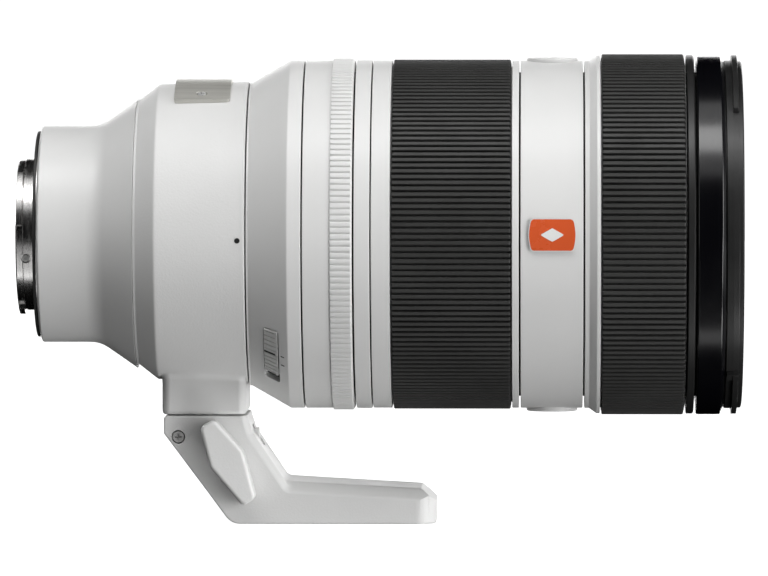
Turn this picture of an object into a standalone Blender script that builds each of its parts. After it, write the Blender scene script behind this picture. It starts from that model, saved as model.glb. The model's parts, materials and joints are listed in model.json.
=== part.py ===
"""White fast telephoto zoom lens with a rotating tripod collar and a removable foot.

Metres, +Z up. +X is the optical axis, towards the front glass, and -Y is the lens's right-hand side.
The origin is under the middle of the object, on the plane that the foot stands on. Lengths below are in
millimetres, in the lens's own frame: x from the camera flange, r from the optical axis. Angles around the
axis are degrees from the -Y side, 90 at the top.
"""

import math

import bmesh
import bpy
from mathutils import Vector

MM = 0.001

# Driving dimensions, in millimetres
AXIS_HEIGHT = 81.9
FLANGE_BEHIND_ORIGIN = 97.65
FRONT = 200.6
STEPS = 32
FINE_STEPS = 16
GAP = 0.3

FLANGE_R = 28.3
THROAT_R = 19.5
BAYONET_R = 21.7
BAYONET_REAR = -5.3
MOUNT_SCREW_R = 25.7
MOUNT_SCREW_ANGLES = (45, 135, 225, 315)
BAYONET_LUG_ANGLES = (-90, 30, 150)

REAR_R = 30.85
REAR_CONE_X = 17.8
REAR_END = 28.3
REAR_END_R = 38.1

COLLAR = (28.7, 60.4)
COLLAR_R = (38.35, 42.75, 43.45)
COLLAR_BORE = (36.9, 39.4)
PAD = (36.1, 60.0)
PAD_HALF_WIDTH = 17.0
PAD_BOTTOM = -50.75
KNOB_X = 48.0
KNOB_R = 8.0
PLATE = (39.7, 55.6)
PLATE_HALF_WIDTH = 21.2
PLATE_SCREW_ANGLES = (66, 114)

FOOT_HALF_WIDTH = 16.5
FOOT_TOP = -51.1
# The foot's front, from its arm up to its top: a point of the front, where the chamfer leaves it on the
# side face, and how far in from the side the chamfer starts
FOOT_FRONT = (
    ((109.7, -71.9), (109.5, -75.0), 3.1), ((72.6, -69.75), (71.5, -72.8), 3.1),
    ((70.6, -69.0), (69.3, -69.9), 1.6), ((60.9, -54.6), (59.6, -55.5), 1.6),
    ((60.9, -51.6), (60.3, FOOT_TOP), 1.6), ((60.3, FOOT_TOP), (60.3, FOOT_TOP), 1.6),
)
LEG_SLOPE = (9.7, -14.4)
ARM_END = 114.0
ARM_END_R = 6.0
RAIL = (38.0, 58.6)
LEVER = (55.3, -64.0)
LEVER_OUTLINE = ((-8.2, 10.0), (-4.1, 12.3), (4.1, 3.3), (7.7, -10.1), (3.9, -12.3), (-5.3, -1.4))
LEVER_Y = (-25.0, -17.2)
STOP_SCREW = (40.7, -57.1)
CATCH = (62.8, -57.4)
CATCH_OUTLINE = ((-2.85, -2.9), (2.8, -2.9), (2.8, -1.0), (-1.6, 1.4), (-2.85, -0.5))
INSERT_X = 86.0

HOUSING = (60.8, 76.3)
HOUSING_R = (43.25, 49.6)
HOUSING_CONE = (61.3, 72.4)
APERTURE = (76.75, 90.7)
INDEX = (91.2, 95.6)
ZOOM = (96.0, 137.4)
ZOOM_GRIP = (101.6, 135.2)
BAND = (137.9, 155.5)
FOCUS = (156.0, 184.5)
FOCUS_GRIP = (160.7, 184.3)
END_RING = (184.9, 187.0)
FRONT_BARREL = (187.6, 195.4)
HOOD_RING = (195.7, FRONT)
RING_BORE = 46.6
TUBE_R = (46.2, 44.6)

CAM_BARREL = (84.0, 146.0)
CAM_R = (44.2, 42.9)
CAM_TURN = 70.0
KEY_ANGLE = 30.0
KEY_X = 121.0
VARIATOR = {"x": 134.0, "travel": -20.0, "angle": 150.0}
COMPENSATOR = {"x": 92.0, "travel": 8.0, "angle": 270.0}
FOCUS_GROUP_X = 158.0
CELL_R = 41.5
CELL_HALF = 4.0
PIN_R = 1.4
ROD_R = 1.2
ROD_CIRCLE = 39.5
ROD_ANGLES = (45, 225)
ROD = (77.5, 169.5)
MOTOR_ANGLE = 315.0

BUTTON_X = 146.8
BUTTON_R = 7.25
BUTTON_ANGLES = {"top": 90, "left": 180, "bottom": 270}
BADGE = (13.4, 9.0)
BADGE_Z = 1.4

WINDOW = {"x": 67.7, "along": 5.1, "angles": (-59.1, -32.8)}
SLIDER_ANGLES = (-54.4, -33.3)
PANEL = {"along": 9.0, "angles": (152.0, 208.0)}
SIDE_SWITCHES = {"focus_mode_switch": (157.0, 167.0), "focus_range_switch": (187.0, 197.0)}

LOOKS = {
    "white": ((0.80, 0.80, 0.79), 0.45, 0.0),
    "rubber": ((0.03, 0.03, 0.03), 0.7, 0.0),
    "black": ((0.02, 0.02, 0.022), 0.3, 0.0),
    "matte_black": ((0.025, 0.025, 0.025), 0.6, 0.0),
    "steel": ((0.72, 0.72, 0.74), 0.25, 1.0),
    "brass": ((0.75, 0.6, 0.3), 0.3, 1.0),
    "plate": ((0.55, 0.53, 0.49), 0.4, 1.0),
    "orange": ((0.85, 0.2, 0.07), 0.3, 0.0),
    "glass": ((0.75, 0.85, 0.85), 0.03, 0.0),
    "circuit": ((0.02, 0.2, 0.09), 0.5, 0.0),
    "grey": ((0.45, 0.45, 0.45), 0.4, 0.0),
}


def reset():
    for old in list(bpy.data.objects):
        bpy.data.objects.remove(old)
    parts = bpy.data.collections.new("telephoto_zoom_lens")
    tools = bpy.data.collections.new("cutters")
    for group in (parts, tools):
        bpy.context.scene.collection.children.link(group)
    return parts, tools


PARTS, TOOLS = reset()
FLANGE_CENTRE = bpy.data.objects.new("flange_centre", None)
FLANGE_CENTRE.location = (-FLANGE_BEHIND_ORIGIN * MM, 0, AXIS_HEIGHT * MM)
PARTS.objects.link(FLANGE_CENTRE)


def looks(obj, look):
    colour, roughness, metallic = LOOKS[look]
    material = bpy.data.materials.new(obj.name)
    material.use_nodes = True
    shader = material.node_tree.nodes["Principled BSDF"]
    shader.inputs["Base Color"].default_value = (*colour, 1)
    shader.inputs["Roughness"].default_value = roughness
    shader.inputs["Metallic"].default_value = metallic
    obj.data.materials.append(material)


def add(name, mesh, look=None, location=(0, 0, 0), turned=False):
    """Links a mesh as a part, or as a tool where it has no look. The location is from the flange centre."""
    obj = bpy.data.objects.new(name, mesh)
    obj.parent = FLANGE_CENTRE
    obj.location = [c * MM for c in location]
    if turned:
        obj.rotation_euler = (0, math.radians(90), 0)
    if look:
        PARTS.objects.link(obj)
        looks(obj, look)
    else:
        TOOLS.objects.link(obj)
        obj.hide_render = True
        obj.display_type = "WIRE"
    return obj


def mesh_from(bm, name):
    bmesh.ops.recalc_face_normals(bm, faces=bm.faces)
    mesh = bpy.data.meshes.new(name)
    bm.to_mesh(mesh)
    bm.free()
    return mesh


def turned(name, profile, look=None, steps=STEPS, solid=False):
    """A piece turned about the optical axis from (x, r) points; a solid one starts and ends on the axis."""
    points = [(r * MM, 0, x * MM) for x, r in profile]
    nexts = points[1:] + ([] if solid else points[:1])
    area = sum(a[0] * b[2] - b[0] * a[2] for a, b in zip(points, nexts))
    if area > 0:
        points.reverse()
    edges = [(i, i + 1) for i in range(len(points) - 1)]
    if not solid:
        edges.append((len(points) - 1, 0))
    mesh = bpy.data.meshes.new(name)
    mesh.from_pydata(points, edges, [])
    obj = add(name, mesh, look, turned=True)
    screw = obj.modifiers.new("Screw", "SCREW")
    screw.angle = math.tau
    screw.steps = steps
    screw.render_steps = steps
    screw.use_merge_vertices = True
    screw.merge_threshold = 0.00001
    screw.use_smooth_shade = True
    return obj


def around(angle, x, r):
    """A point at an angle around the optical axis, in millimetres from the flange centre."""
    turn = math.radians(angle)
    return Vector((x, -r * math.cos(turn), r * math.sin(turn)))


def sector(name, profile, angles, look=None, degrees_a_step=8.0, drift=0.0):
    """A stretch of ring with the closed profile (x, r), which drifts along x as it goes round."""
    count = max(2, math.ceil(abs(angles[1] - angles[0]) / degrees_a_step))
    bm = bmesh.new()
    rows = []
    for i in range(count + 1):
        share = i / count
        angle = angles[0] + (angles[1] - angles[0]) * share
        rows.append([bm.verts.new(around(angle, x + drift * share, r) * MM) for x, r in profile])
    for row, following in zip(rows, rows[1:]):
        for k in range(len(profile)):
            n = (k + 1) % len(profile)
            bm.faces.new((row[k], row[n], following[n], following[k]))
    bm.faces.new(rows[0])
    bm.faces.new(rows[-1])
    return add(name, mesh_from(bm, name), look)


def block(name, low, high, look=None):
    """A box between two corners."""
    bm = bmesh.new()
    bmesh.ops.create_cube(bm, size=1)
    size = [(b - a) * MM for a, b in zip(low, high)]
    bmesh.ops.scale(bm, vec=size, verts=bm.verts)
    centre = [(a + b) / 2 for a, b in zip(low, high)]
    return add(name, mesh_from(bm, name), look, location=centre)


def radial_pin(name, angle, x, inner, outer, radius, look=None, steps=FINE_STEPS):
    """A cylinder on a radius of the lens."""
    bm = bmesh.new()
    bmesh.ops.create_cone(
        bm, cap_ends=True, segments=steps, radius1=radius * MM, radius2=radius * MM,
        depth=(outer - inner) * MM,
    )
    obj = add(name, mesh_from(bm, name), look, location=around(angle, x, (inner + outer) / 2))
    obj.rotation_euler = around(angle, 0, 1).to_track_quat("Z", "Y").to_euler()
    return obj


def across(name, x, z, y_range, radius, look=None, steps=FINE_STEPS):
    """A cylinder along Y."""
    bm = bmesh.new()
    bmesh.ops.create_cone(
        bm, cap_ends=True, segments=steps, radius1=radius * MM, radius2=radius * MM,
        depth=(y_range[1] - y_range[0]) * MM,
    )
    obj = add(name, mesh_from(bm, name), look, location=(x, sum(y_range) / 2, z))
    obj.rotation_euler = (math.radians(90), 0, 0)
    return obj


def lengthwise(name, x_range, y, z, radius, look=None, steps=FINE_STEPS):
    """A cylinder along the optical axis."""
    bm = bmesh.new()
    bmesh.ops.create_cone(
        bm, cap_ends=True, segments=steps, radius1=radius * MM, radius2=radius * MM,
        depth=(x_range[1] - x_range[0]) * MM,
    )
    obj = add(name, mesh_from(bm, name), look, location=(sum(x_range) / 2, y, z))
    obj.rotation_euler = (0, math.radians(90), 0)
    return obj


def extruded(name, outline, y_range, look=None, location=(0, 0, 0)):
    """An outline of (x, z) points, given thickness along Y."""
    bm = bmesh.new()
    corners = [bm.verts.new((x * MM, 0, z * MM)) for x, z in outline]
    bm.faces.new(corners)
    middle = (location[0], location[1] + sum(y_range) / 2, location[2])
    obj = add(name, mesh_from(bm, name), look, location=middle)
    solidify = obj.modifiers.new("Solidify", "SOLIDIFY")
    solidify.thickness = (y_range[1] - y_range[0]) * MM
    solidify.offset = 0
    return obj


def combine(obj, tool, operation="DIFFERENCE"):
    modifier = obj.modifiers.new(tool.name, "BOOLEAN")
    modifier.operation = operation
    modifier.solver = "EXACT"
    modifier.object = tool
    return obj


def arc(x, r, radius, start, end, count):
    """Points on an arc; the angles are in degrees, 0 towards +x and 90 outwards."""
    turns = [math.radians(start + (end - start) * i / count) for i in range(count + 1)]
    return [(x + radius * math.cos(t), r + radius * math.sin(t)) for t in turns]


def tube(name, x_range, outer, inner, look=None, steps=STEPS):
    first, last = x_range
    profile = [(first, inner), (first, outer), (last, outer), (last, inner)]
    return turned(name, profile, look, steps)


def cone_r(x):
    """The radius of the switch housing's cone."""
    slope = (HOUSING_R[1] - HOUSING_R[0]) / (HOUSING_CONE[1] - HOUSING_CONE[0])
    return HOUSING_R[0] + slope * (x - HOUSING_CONE[0])


def cone_slab(x, along, low, high):
    """A closed profile lying on the housing's cone: its middle, its length, and its two heights."""
    tilt = math.atan2(HOUSING_R[1] - HOUSING_R[0], HOUSING_CONE[1] - HOUSING_CONE[0])
    ux, ur = math.cos(tilt), math.sin(tilt)
    middle = (x, cone_r(x))
    corners = ((-along / 2, low), (along / 2, low), (along / 2, high), (-along / 2, high))
    return [(middle[0] + a * ux - h * ur, middle[1] + a * ur + h * ux) for a, h in corners]


# Foot ---------------------------------------------------------------------------------------------

def foot_outline():
    """The foot's side view, without its front: a raked leg and a flat sole. The heel is rounded."""
    heel_r = 5.1
    rake_angle = 53.3
    rake = math.radians(rake_angle)
    corner = (55.77, -AXIS_HEIGHT)
    reach = heel_r * math.tan(rake / 2)
    centre = (corner[0] + reach, corner[1] + heel_r)
    heel = arc(*centre, heel_r, 270 - rake_angle, 270, 4)
    return [
        (37.2, FOOT_TOP), (36.6, -51.7), (36.6, -56.2), *heel, (ARM_END - 0.6, -AXIS_HEIGHT),
        (ARM_END, -81.3), (ARM_END, -75.5),
    ]


def chamfered_foot():
    """The casting, whose front is chamfered along both sides, more on the arm than on the leg."""
    bm = bmesh.new()
    sides = []
    for half in (-FOOT_HALF_WIDTH, FOOT_HALF_WIDTH):
        rear = [bm.verts.new(Vector((x, half, z)) * MM) for x, z in foot_outline()]
        crest = list(rear)
        side = list(rear)
        for (x, z), (side_x, side_z), reach in FOOT_FRONT:
            crest.append(bm.verts.new(Vector((x, half * (1 - reach / FOOT_HALF_WIDTH), z)) * MM))
            side.append(bm.verts.new(Vector((side_x, half, side_z)) * MM))
        bm.faces.new(side)
        sides.append((crest, side))
    (crest, _), (far_crest, _) = sides
    for i in range(len(crest)):
        n = (i + 1) % len(crest)
        bm.faces.new((crest[i], crest[n], far_crest[n], far_crest[i]))
        for edge, side in sides:
            corners = list(dict.fromkeys((edge[i], edge[n], side[n], side[i])))
            if len(corners) > 2:
                bm.faces.new(corners)
    bmesh.ops.remove_doubles(bm, verts=bm.verts, dist=1e-6)
    return mesh_from(bm, "foot_casting")


def arm_corner(name, side):
    """What is cut away to round one upright corner of the arm's end."""
    clear = 1.0
    bottom, height = -AXIS_HEIGHT - clear, 14.0
    centre = (ARM_END - ARM_END_R, FOOT_HALF_WIDTH - ARM_END_R)
    beyond = (ARM_END + clear, FOOT_HALF_WIDTH + clear)
    outline = [*arc(*centre, ARM_END_R, 0, 90, 4), (centre[0], beyond[1]), beyond, (beyond[0], centre[1])]
    bm = bmesh.new()
    face = bm.faces.new([bm.verts.new((x * MM, side * y * MM, bottom * MM)) for x, y in outline])
    grown = bmesh.ops.extrude_face_region(bm, geom=[face], use_keep_orig=True)["geom"]
    moved = [v for v in grown if isinstance(v, bmesh.types.BMVert)]
    bmesh.ops.translate(bm, vec=(0, 0, height * MM), verts=moved)
    return add(name, mesh_from(bm, name))


def square_to_leg(bm, name, look=None):
    """Stands a mesh on the leg's front face: its x runs down the leg, and its z out of it."""
    obj = add(name, mesh_from(bm, name), look, location=(CATCH[0], 0, CATCH[1]))
    obj.rotation_euler = (0, math.atan2(-LEG_SLOPE[1], LEG_SLOPE[0]), 0)
    return obj


def catch_pocket():
    half_along, half_width, bottom, top = 3.4, 4.4, -5.2, 4.0
    bm = bmesh.new()
    bmesh.ops.create_cube(bm, size=1)
    size = (2 * half_along * MM, 2 * half_width * MM, (top - bottom) * MM)
    bmesh.ops.scale(bm, vec=size, verts=bm.verts)
    bmesh.ops.translate(bm, vec=(0, 0, (top + bottom) / 2 * MM), verts=bm.verts)
    return square_to_leg(bm, "catch_pocket")


def catch():
    half_width = 4.0
    bm = bmesh.new()
    corners = [bm.verts.new((along * MM, -half_width * MM, out * MM)) for along, out in CATCH_OUTLINE]
    grown = bmesh.ops.extrude_face_region(bm, geom=[bm.faces.new(corners)], use_keep_orig=True)["geom"]
    moved = [v for v in grown if isinstance(v, bmesh.types.BMVert)]
    bmesh.ops.translate(bm, vec=(0, 2 * half_width * MM, 0), verts=moved)
    return square_to_leg(bm, "foot_release_catch", "white")


def dovetail(name, x_range, top, bottom, half_top, half_bottom, look=None):
    """A bar along X that is wider at its bottom."""
    bm = bmesh.new()
    outline = ((-half_top, top), (half_top, top), (half_bottom, bottom), (-half_bottom, bottom))
    face = bm.faces.new([bm.verts.new((x_range[0] * MM, y * MM, z * MM)) for y, z in outline])
    grown = bmesh.ops.extrude_face_region(bm, geom=[face], use_keep_orig=True)["geom"]
    moved = [v for v in grown if isinstance(v, bmesh.types.BMVert)]
    bmesh.ops.translate(bm, vec=((x_range[1] - x_range[0]) * MM, 0, 0), verts=moved)
    return add(name, mesh_from(bm, name), look)


def foot():
    casting = add("foot_casting", chamfered_foot(), "white")
    groove = dovetail("groove_cutter", (30, RAIL[1] + 0.5), -50.0, -55.0, 5.7, 8.5)
    combine(casting, groove)
    combine(casting, across("lever_bore", *LEVER, (-18, -5), 2.8))
    combine(casting, across("stop_screw_bore", *STOP_SCREW, (-18, -10), 1.95))
    combine(casting, catch_pocket())
    combine(casting, arm_corner("near_corner", -1))
    combine(casting, arm_corner("far_corner", 1))
    sole = -AXIS_HEIGHT
    combine(casting, upright("insert_bore", INSERT_X, (sole - 1, sole + 7.0), 5.2))
    insert = upright("quarter_inch_insert", INSERT_X, (sole + 0.2, sole + 6.6), 4.9, "steel")
    combine(insert, upright("insert_thread_bore", INSERT_X, (sole - 1, sole + 8), 3.175))
    across("foot_stop_screw", *STOP_SCREW, (-16.8, -10.4), 1.65, "steel", steps=12)
    extruded("foot_lever_grip", LEVER_OUTLINE, LEVER_Y, "white", location=(LEVER[0], 0, LEVER[1]))
    grip = bpy.data.objects["foot_lever_grip"]
    combine(grip, across("lever_socket", *LEVER, (-22, -17), 2.8))
    across("foot_clamp_screw", *LEVER, (-21.6, -6), 2.5, "steel", steps=12)
    catch()


def upright(name, x, z_range, radius, look=None):
    """A cylinder along Z, on the foot's middle line."""
    bm = bmesh.new()
    bmesh.ops.create_cone(
        bm, cap_ends=True, segments=FINE_STEPS, radius1=radius * MM, radius2=radius * MM,
        depth=(z_range[1] - z_range[0]) * MM,
    )
    return add(name, mesh_from(bm, name), look, location=(x, 0, sum(z_range) / 2))


# Collar -------------------------------------------------------------------------------------------

def collar():
    rear, front = COLLAR
    ring = turned("collar_ring", [
        (rear, COLLAR_BORE[0]), (rear, COLLAR_R[0]), (rear + 0.8, COLLAR_R[0]), (34.9, COLLAR_R[1]),
        (front, COLLAR_R[2]), (front, COLLAR_BORE[1]), (35.2, COLLAR_BORE[1]), (35.0, COLLAR_BORE[0]),
    ], "white")
    pad = block("pad_block", (PAD[0], -PAD_HALF_WIDTH, PAD_BOTTOM), (PAD[1], PAD_HALF_WIDTH, -36))
    combine(ring, pad, "UNION")
    boss = radial_pin("knob_boss", 180, KNOB_X, 40.5, 46.4, 6.0)
    combine(ring, boss, "UNION")
    combine(ring, tube_tool("collar_bore", (35.2, 61), COLLAR_BORE[1]))
    combine(ring, radial_pin("knob_bore", 180, KNOB_X, 35, 50, 2.3))
    dovetail("foot_rail", RAIL, -51.05, -54.6, 5.0, 7.8, "steel")
    plate = tube("name_plate", PLATE, 44.25, 43.65, "plate")
    low, high = (PLATE[0] - 1, -PLATE_HALF_WIDTH, 30), (PLATE[1] + 1, PLATE_HALF_WIDTH, 50)
    window = block("plate_outline", low, high)
    combine(plate, window, "INTERSECT")
    for i, angle in enumerate(PLATE_SCREW_ANGLES, 1):
        combine(plate, radial_pin(f"plate_hole_{i}", angle, 47.5, 40, 46, 1.6, steps=12))
        radial_pin(f"name_plate_screw_{i}", angle, 47.5, 43.75, 44.5, 1.25, "steel", steps=12)
    knob = radial_pin("collar_knob_grip", 180, KNOB_X, 46.75, 51.2, KNOB_R, "black", steps=24)
    combine(knob, radial_pin("knob_socket", 180, KNOB_X, 40, 49.5, 2.3))
    radial_pin("collar_clamp_screw", 180, KNOB_X, 39.75, 49.1, 1.9, "steel", steps=12)


def tube_tool(name, x_range, radius):
    """A plain bore about the optical axis."""
    back, front = x_range
    return turned(name, [(front, 0), (front, radius), (back, radius), (back, 0)], solid=True)


# Fixed barrel -------------------------------------------------------------------------------------

def mount():
    bayonet = turned("mount_bayonet", [
        (BAYONET_REAR, THROAT_R), (BAYONET_REAR, 21.4), (-3.3, 21.4), (-3.3, BAYONET_R),
        (0.3, BAYONET_R), (0.3, 23.2), (0, 23.2), (0, FLANGE_R), (2.2, FLANGE_R), (2.2, THROAT_R),
    ], "steel")
    for i, angle in enumerate(BAYONET_LUG_ANGLES, 1):
        profile = [(-5.1, 21.0), (-5.1, 22.9), (-3.2, 22.9), (-3.2, 21.0)]
        lug = sector(f"bayonet_lug_{i}", profile, (angle - 22, angle + 22))
        combine(bayonet, lug, "UNION")
    shell = rear_shell()
    for i, angle in enumerate(MOUNT_SCREW_ANGLES, 1):
        centre = around(angle, 0, MOUNT_SCREW_R)
        wide = lengthwise(f"screw_seat_{i}", (-1, 2.6), centre.y, centre.z, 2.0, steps=12)
        narrow = lengthwise(f"screw_bore_{i}", (2, 6), centre.y, centre.z, 1.25, steps=12)
        combine(bayonet, wide)
        combine(shell, narrow)
        head = lengthwise(f"mount_screw_{i}", (0.15, 1.9), centre.y, centre.z, 1.7, "steel", steps=12)
        shank = lengthwise(f"screw_shank_{i}", (1.5, 4.8), centre.y, centre.z, 0.9, steps=12)
        combine(head, shank, "UNION")
    combine(bayonet, radial_pin("side_screw_bore", -17, -2.7, 20.6, 24, 1.45, steps=12))
    radial_pin("bayonet_side_screw", -17, -2.7, 20.8, 21.35, 1.05, "steel", steps=12)
    tube("mount_gasket", (0, 0.75), 29.35, 28.6, "rubber")
    profile = [(-3.5, 16.2), (-3.5, 19.1), (4.0, 19.1), (4.0, 16.2)]
    sector("contact_block", profile, (240, 300), "matte_black", degrees_a_step=12)


def rear_shell():
    fillet_r = 8.0
    rake = 33.8
    start = REAR_CONE_X - fillet_r * math.tan(math.radians(rake / 2))
    fillet = arc(start, REAR_R + fillet_r, fillet_r, 270, 270 + rake, 2)
    return turned("rear_barrel", [
        (1.05, 28.65), (1.05, 29.65), (1.5, REAR_R), *fillet, (REAR_END, REAR_END_R),
        (REAR_END, 31.0), (26.3, 31.0), (26.3, 34.2), (19.2, 29.4), (5.0, 28.9), (5.0, 22.2),
        (2.5, 22.2), (2.5, 28.65),
    ], "white")


def tubes():
    turned("rear_tube", [
        (28.6, 35.0), (28.6, 36.6), (35.5, 36.6), (35.6, 39.1), (73.8, 39.1), (73.8, 46.9),
        (76.0, 46.9), (76.0, 37.6), (35.8, 37.6), (33.5, 35.0),
    ], "matte_black")
    outer, inner = TUBE_R
    main = turned("main_tube", [
        (76.3, 36.0), (76.3, outer), (190.4, outer), (190.4, inner), (79.5, inner), (79.5, 36.0),
    ], "matte_black")
    slot_angles = (KEY_ANGLE - CAM_TURN - 5, KEY_ANGLE + 5)
    profile = [(KEY_X - 3.4, 43), (KEY_X - 3.4, 48), (KEY_X + 3.4, 48), (KEY_X + 3.4, 43)]
    combine(main, sector("key_slot", profile, slot_angles))
    for i, angle in enumerate(ROD_ANGLES, 1):
        centre = around(angle, 0, ROD_CIRCLE)
        rod_bore = lengthwise(f"rod_bore_{i}", (75, 81), centre.y, centre.z, ROD_R + GAP, steps=12)
        combine(main, rod_bore)
        lengthwise(f"guide_rod_{i}", ROD, centre.y, centre.z, ROD_R, "steel", steps=12)


def shells():
    housing = turned("switch_housing", [
        (HOUSING[0], 39.5), (HOUSING[0], HOUSING_R[0]), (HOUSING_CONE[0], HOUSING_R[0]),
        (HOUSING_CONE[1], HOUSING_R[1]), (HOUSING[1], HOUSING_R[1]), (HOUSING[1], 47.3),
        (72.6, 47.3), (62.0, 41.2), (62.0, 39.5),
    ], "white")
    window = cone_slab(WINDOW["x"], WINDOW["along"], -1.5, 3)
    combine(housing, sector("click_window", window, WINDOW["angles"]))
    slider = cone_slab(WINDOW["x"], WINDOW["along"] - 0.8, -1.15, 0.35)
    sector("click_switch", slider, SLIDER_ANGLES, "grey")
    panel = cone_slab(66.9, PANEL["along"], -0.6, 0.9)
    combine(housing, sector("switch_panel", panel, PANEL["angles"]), "UNION")
    for name, angles in SIDE_SWITCHES.items():
        slot = cone_slab(66.9, 4.6, -0.5, 3)
        combine(housing, sector(name + "_slot", slot, (angles[0] - 1, angles[1] + 5)))
        sector(name, cone_slab(66.9, 3.8, -0.15, 1.7), angles, "grey")
    tube("index_ring", INDEX, 49.65, 46.5, "white")
    band = tube("button_band", BAND, 49.53, 46.5, "white")
    for side, angle in BUTTON_ANGLES.items():
        pocket = radial_pin(f"button_pocket_{side}", angle, BUTTON_X, 47.0, 52, BUTTON_R + GAP, steps=24)
        combine(band, pocket)
        radial_pin(f"hold_button_{side}", angle, BUTTON_X, 47.7, 50.4, BUTTON_R, "white", steps=24)
    badge_x = (BUTTON_X - BADGE[0] / 2, BUTTON_X + BADGE[0] / 2)
    badge = tube("badge_plate", badge_x, 50.25, 49.85, "orange", steps=80)
    badge_z = (BADGE_Z - BADGE[1] / 2, BADGE_Z + BADGE[1] / 2)
    outline = block("badge_outline", (130, -60, badge_z[0]), (160, -40, badge_z[1]))
    combine(badge, outline, "INTERSECT")
    turned("front_barrel", [
        (FRONT_BARREL[0], RING_BORE), (FRONT_BARREL[0], 51.0), (187.9, 51.36), (194.5, 51.36),
        (FRONT_BARREL[1], 49.9), (FRONT_BARREL[1], 48.9), (191.0, 48.9), (191.0, RING_BORE),
    ], "black")


def hood_ring():
    ring = turned("hood_ring", [
        (HOOD_RING[0], 48.6), (HOOD_RING[0], 49.6), (197.7, 49.6), (199.2, 49.45), (FRONT - 0.3, 49.45),
        (FRONT, 49.15), (FRONT, 47.5), (191.3, 47.5), (191.3, 48.6),
    ], "matte_black")
    profile = [(197.7, 48.8), (197.7, 51.17), (199.2, 51.17), (199.2, 48.8)]
    combine(ring, sector("top_lug", profile, (90 - 44.3, 90 + 44.3)), "UNION")
    combine(ring, sector("bottom_lug", profile, (270 - 40.6, 270 + 40.6)), "UNION")
    stop = [(196.1, 48.9), (196.1, 50.9), (199.6, 50.9), (199.6, 48.9)]
    combine(ring, sector("lug_stop", stop, (270 + 38.0, 270 + 40.6)), "UNION")


def rings():
    turned("aperture_ring", [
        (APERTURE[0], RING_BORE), (APERTURE[0], 49.6), (84.4, 49.6), (84.5, 50.1), (90.3, 50.1),
        (APERTURE[1], 49.6), (APERTURE[1], RING_BORE),
    ], "white")
    zoom = turned("zoom_ring", [
        (ZOOM[0], RING_BORE), (ZOOM[0], 49.57), (ZOOM_GRIP[0] - GAP, 49.57), (ZOOM_GRIP[0] - GAP, 47.8),
        (ZOOM_GRIP[1] + GAP, 47.8), (ZOOM_GRIP[1] + GAP, 49.55), (ZOOM[1], 49.55), (ZOOM[1], RING_BORE),
    ], "white")
    key_seat = [(KEY_X - 2.9, 46), (KEY_X - 2.9, 47.35), (KEY_X + 2.9, 47.35), (KEY_X + 2.9, 46)]
    combine(zoom, sector("key_seat", key_seat, (KEY_ANGLE - 3.6, KEY_ANGLE + 3.6)))
    tube("zoom_grip", ZOOM_GRIP, 49.83, 48.15, "rubber")
    turned("focus_ring", [
        (FOCUS[0], RING_BORE), (FOCUS[0], 49.55), (157.3, 49.55), (159.4, 51.05),
        (FOCUS_GRIP[0] - GAP, 51.08), (FOCUS_GRIP[0] - GAP, 49.4), (FOCUS[1], 49.4), (FOCUS[1], RING_BORE),
    ], "white")
    tube("focus_grip", FOCUS_GRIP, 51.39, 49.75, "rubber")
    turned("focus_end_ring", [
        (END_RING[0], RING_BORE), (END_RING[0], 51.15), (186.7, 51.15), (END_RING[1], 50.8),
        (END_RING[1], RING_BORE),
    ], "black")
    hood_ring()


# Optics and drives --------------------------------------------------------------------------------

def lens(name, x, radius, thickness, front_sag, rear_sag):
    """A glass disc: a positive sag bulges outwards. The rim stands at x, thickness wide."""
    half = thickness / 2
    bows = ((1, 0), (0.75, 0.4375), (0.4, 0.84), (0, 1))
    front = [(x + half + front_sag * bow, radius * share) for share, bow in reversed(bows)]
    rear = [(x - half - rear_sag * bow, radius * share) for share, bow in bows]
    return turned(name, front + rear, "glass", steps=20, solid=True)


def sliding_cell(name, x, bore, pin_angle=None):
    """A lens holder that runs on the two rods, with a pin for its cam slot."""
    cell = turned(name, [
        (x - CELL_HALF, bore - 2.0), (x - CELL_HALF, CELL_R), (x + CELL_HALF, CELL_R),
        (x + CELL_HALF, bore), (x - CELL_HALF + 1.5, bore), (x - CELL_HALF + 1.5, bore - 2.0),
    ], "matte_black", steps=24)
    for i, angle in enumerate(ROD_ANGLES, 1):
        centre = around(angle, 0, ROD_CIRCLE)
        span = (x - 1.5 * CELL_HALF, x + 1.5 * CELL_HALF)
        rod_bore = lengthwise(f"{name}_rod_bore_{i}", span, centre.y, centre.z, ROD_R + GAP, steps=12)
        combine(cell, rod_bore)
    if pin_angle is not None:
        combine(cell, radial_pin(name + "_pin", pin_angle, x, 40.2, 43.9, PIN_R, steps=12), "UNION")
    return cell


def cam_slot(name, group):
    """The slanted slot that moves a group's pin along the lens as the cam barrel turns."""
    margin = 3.2
    rate = group["travel"] / CAM_TURN
    start = group["x"] - rate * margin
    profile = [(start - 2.1, 42), (start - 2.1, 45.2), (start + 2.1, 45.2), (start + 2.1, 42)]
    angles = (group["angle"] - margin, group["angle"] + CAM_TURN + margin)
    return sector(name, profile, angles, drift=rate * (CAM_TURN + 2 * margin))


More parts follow.
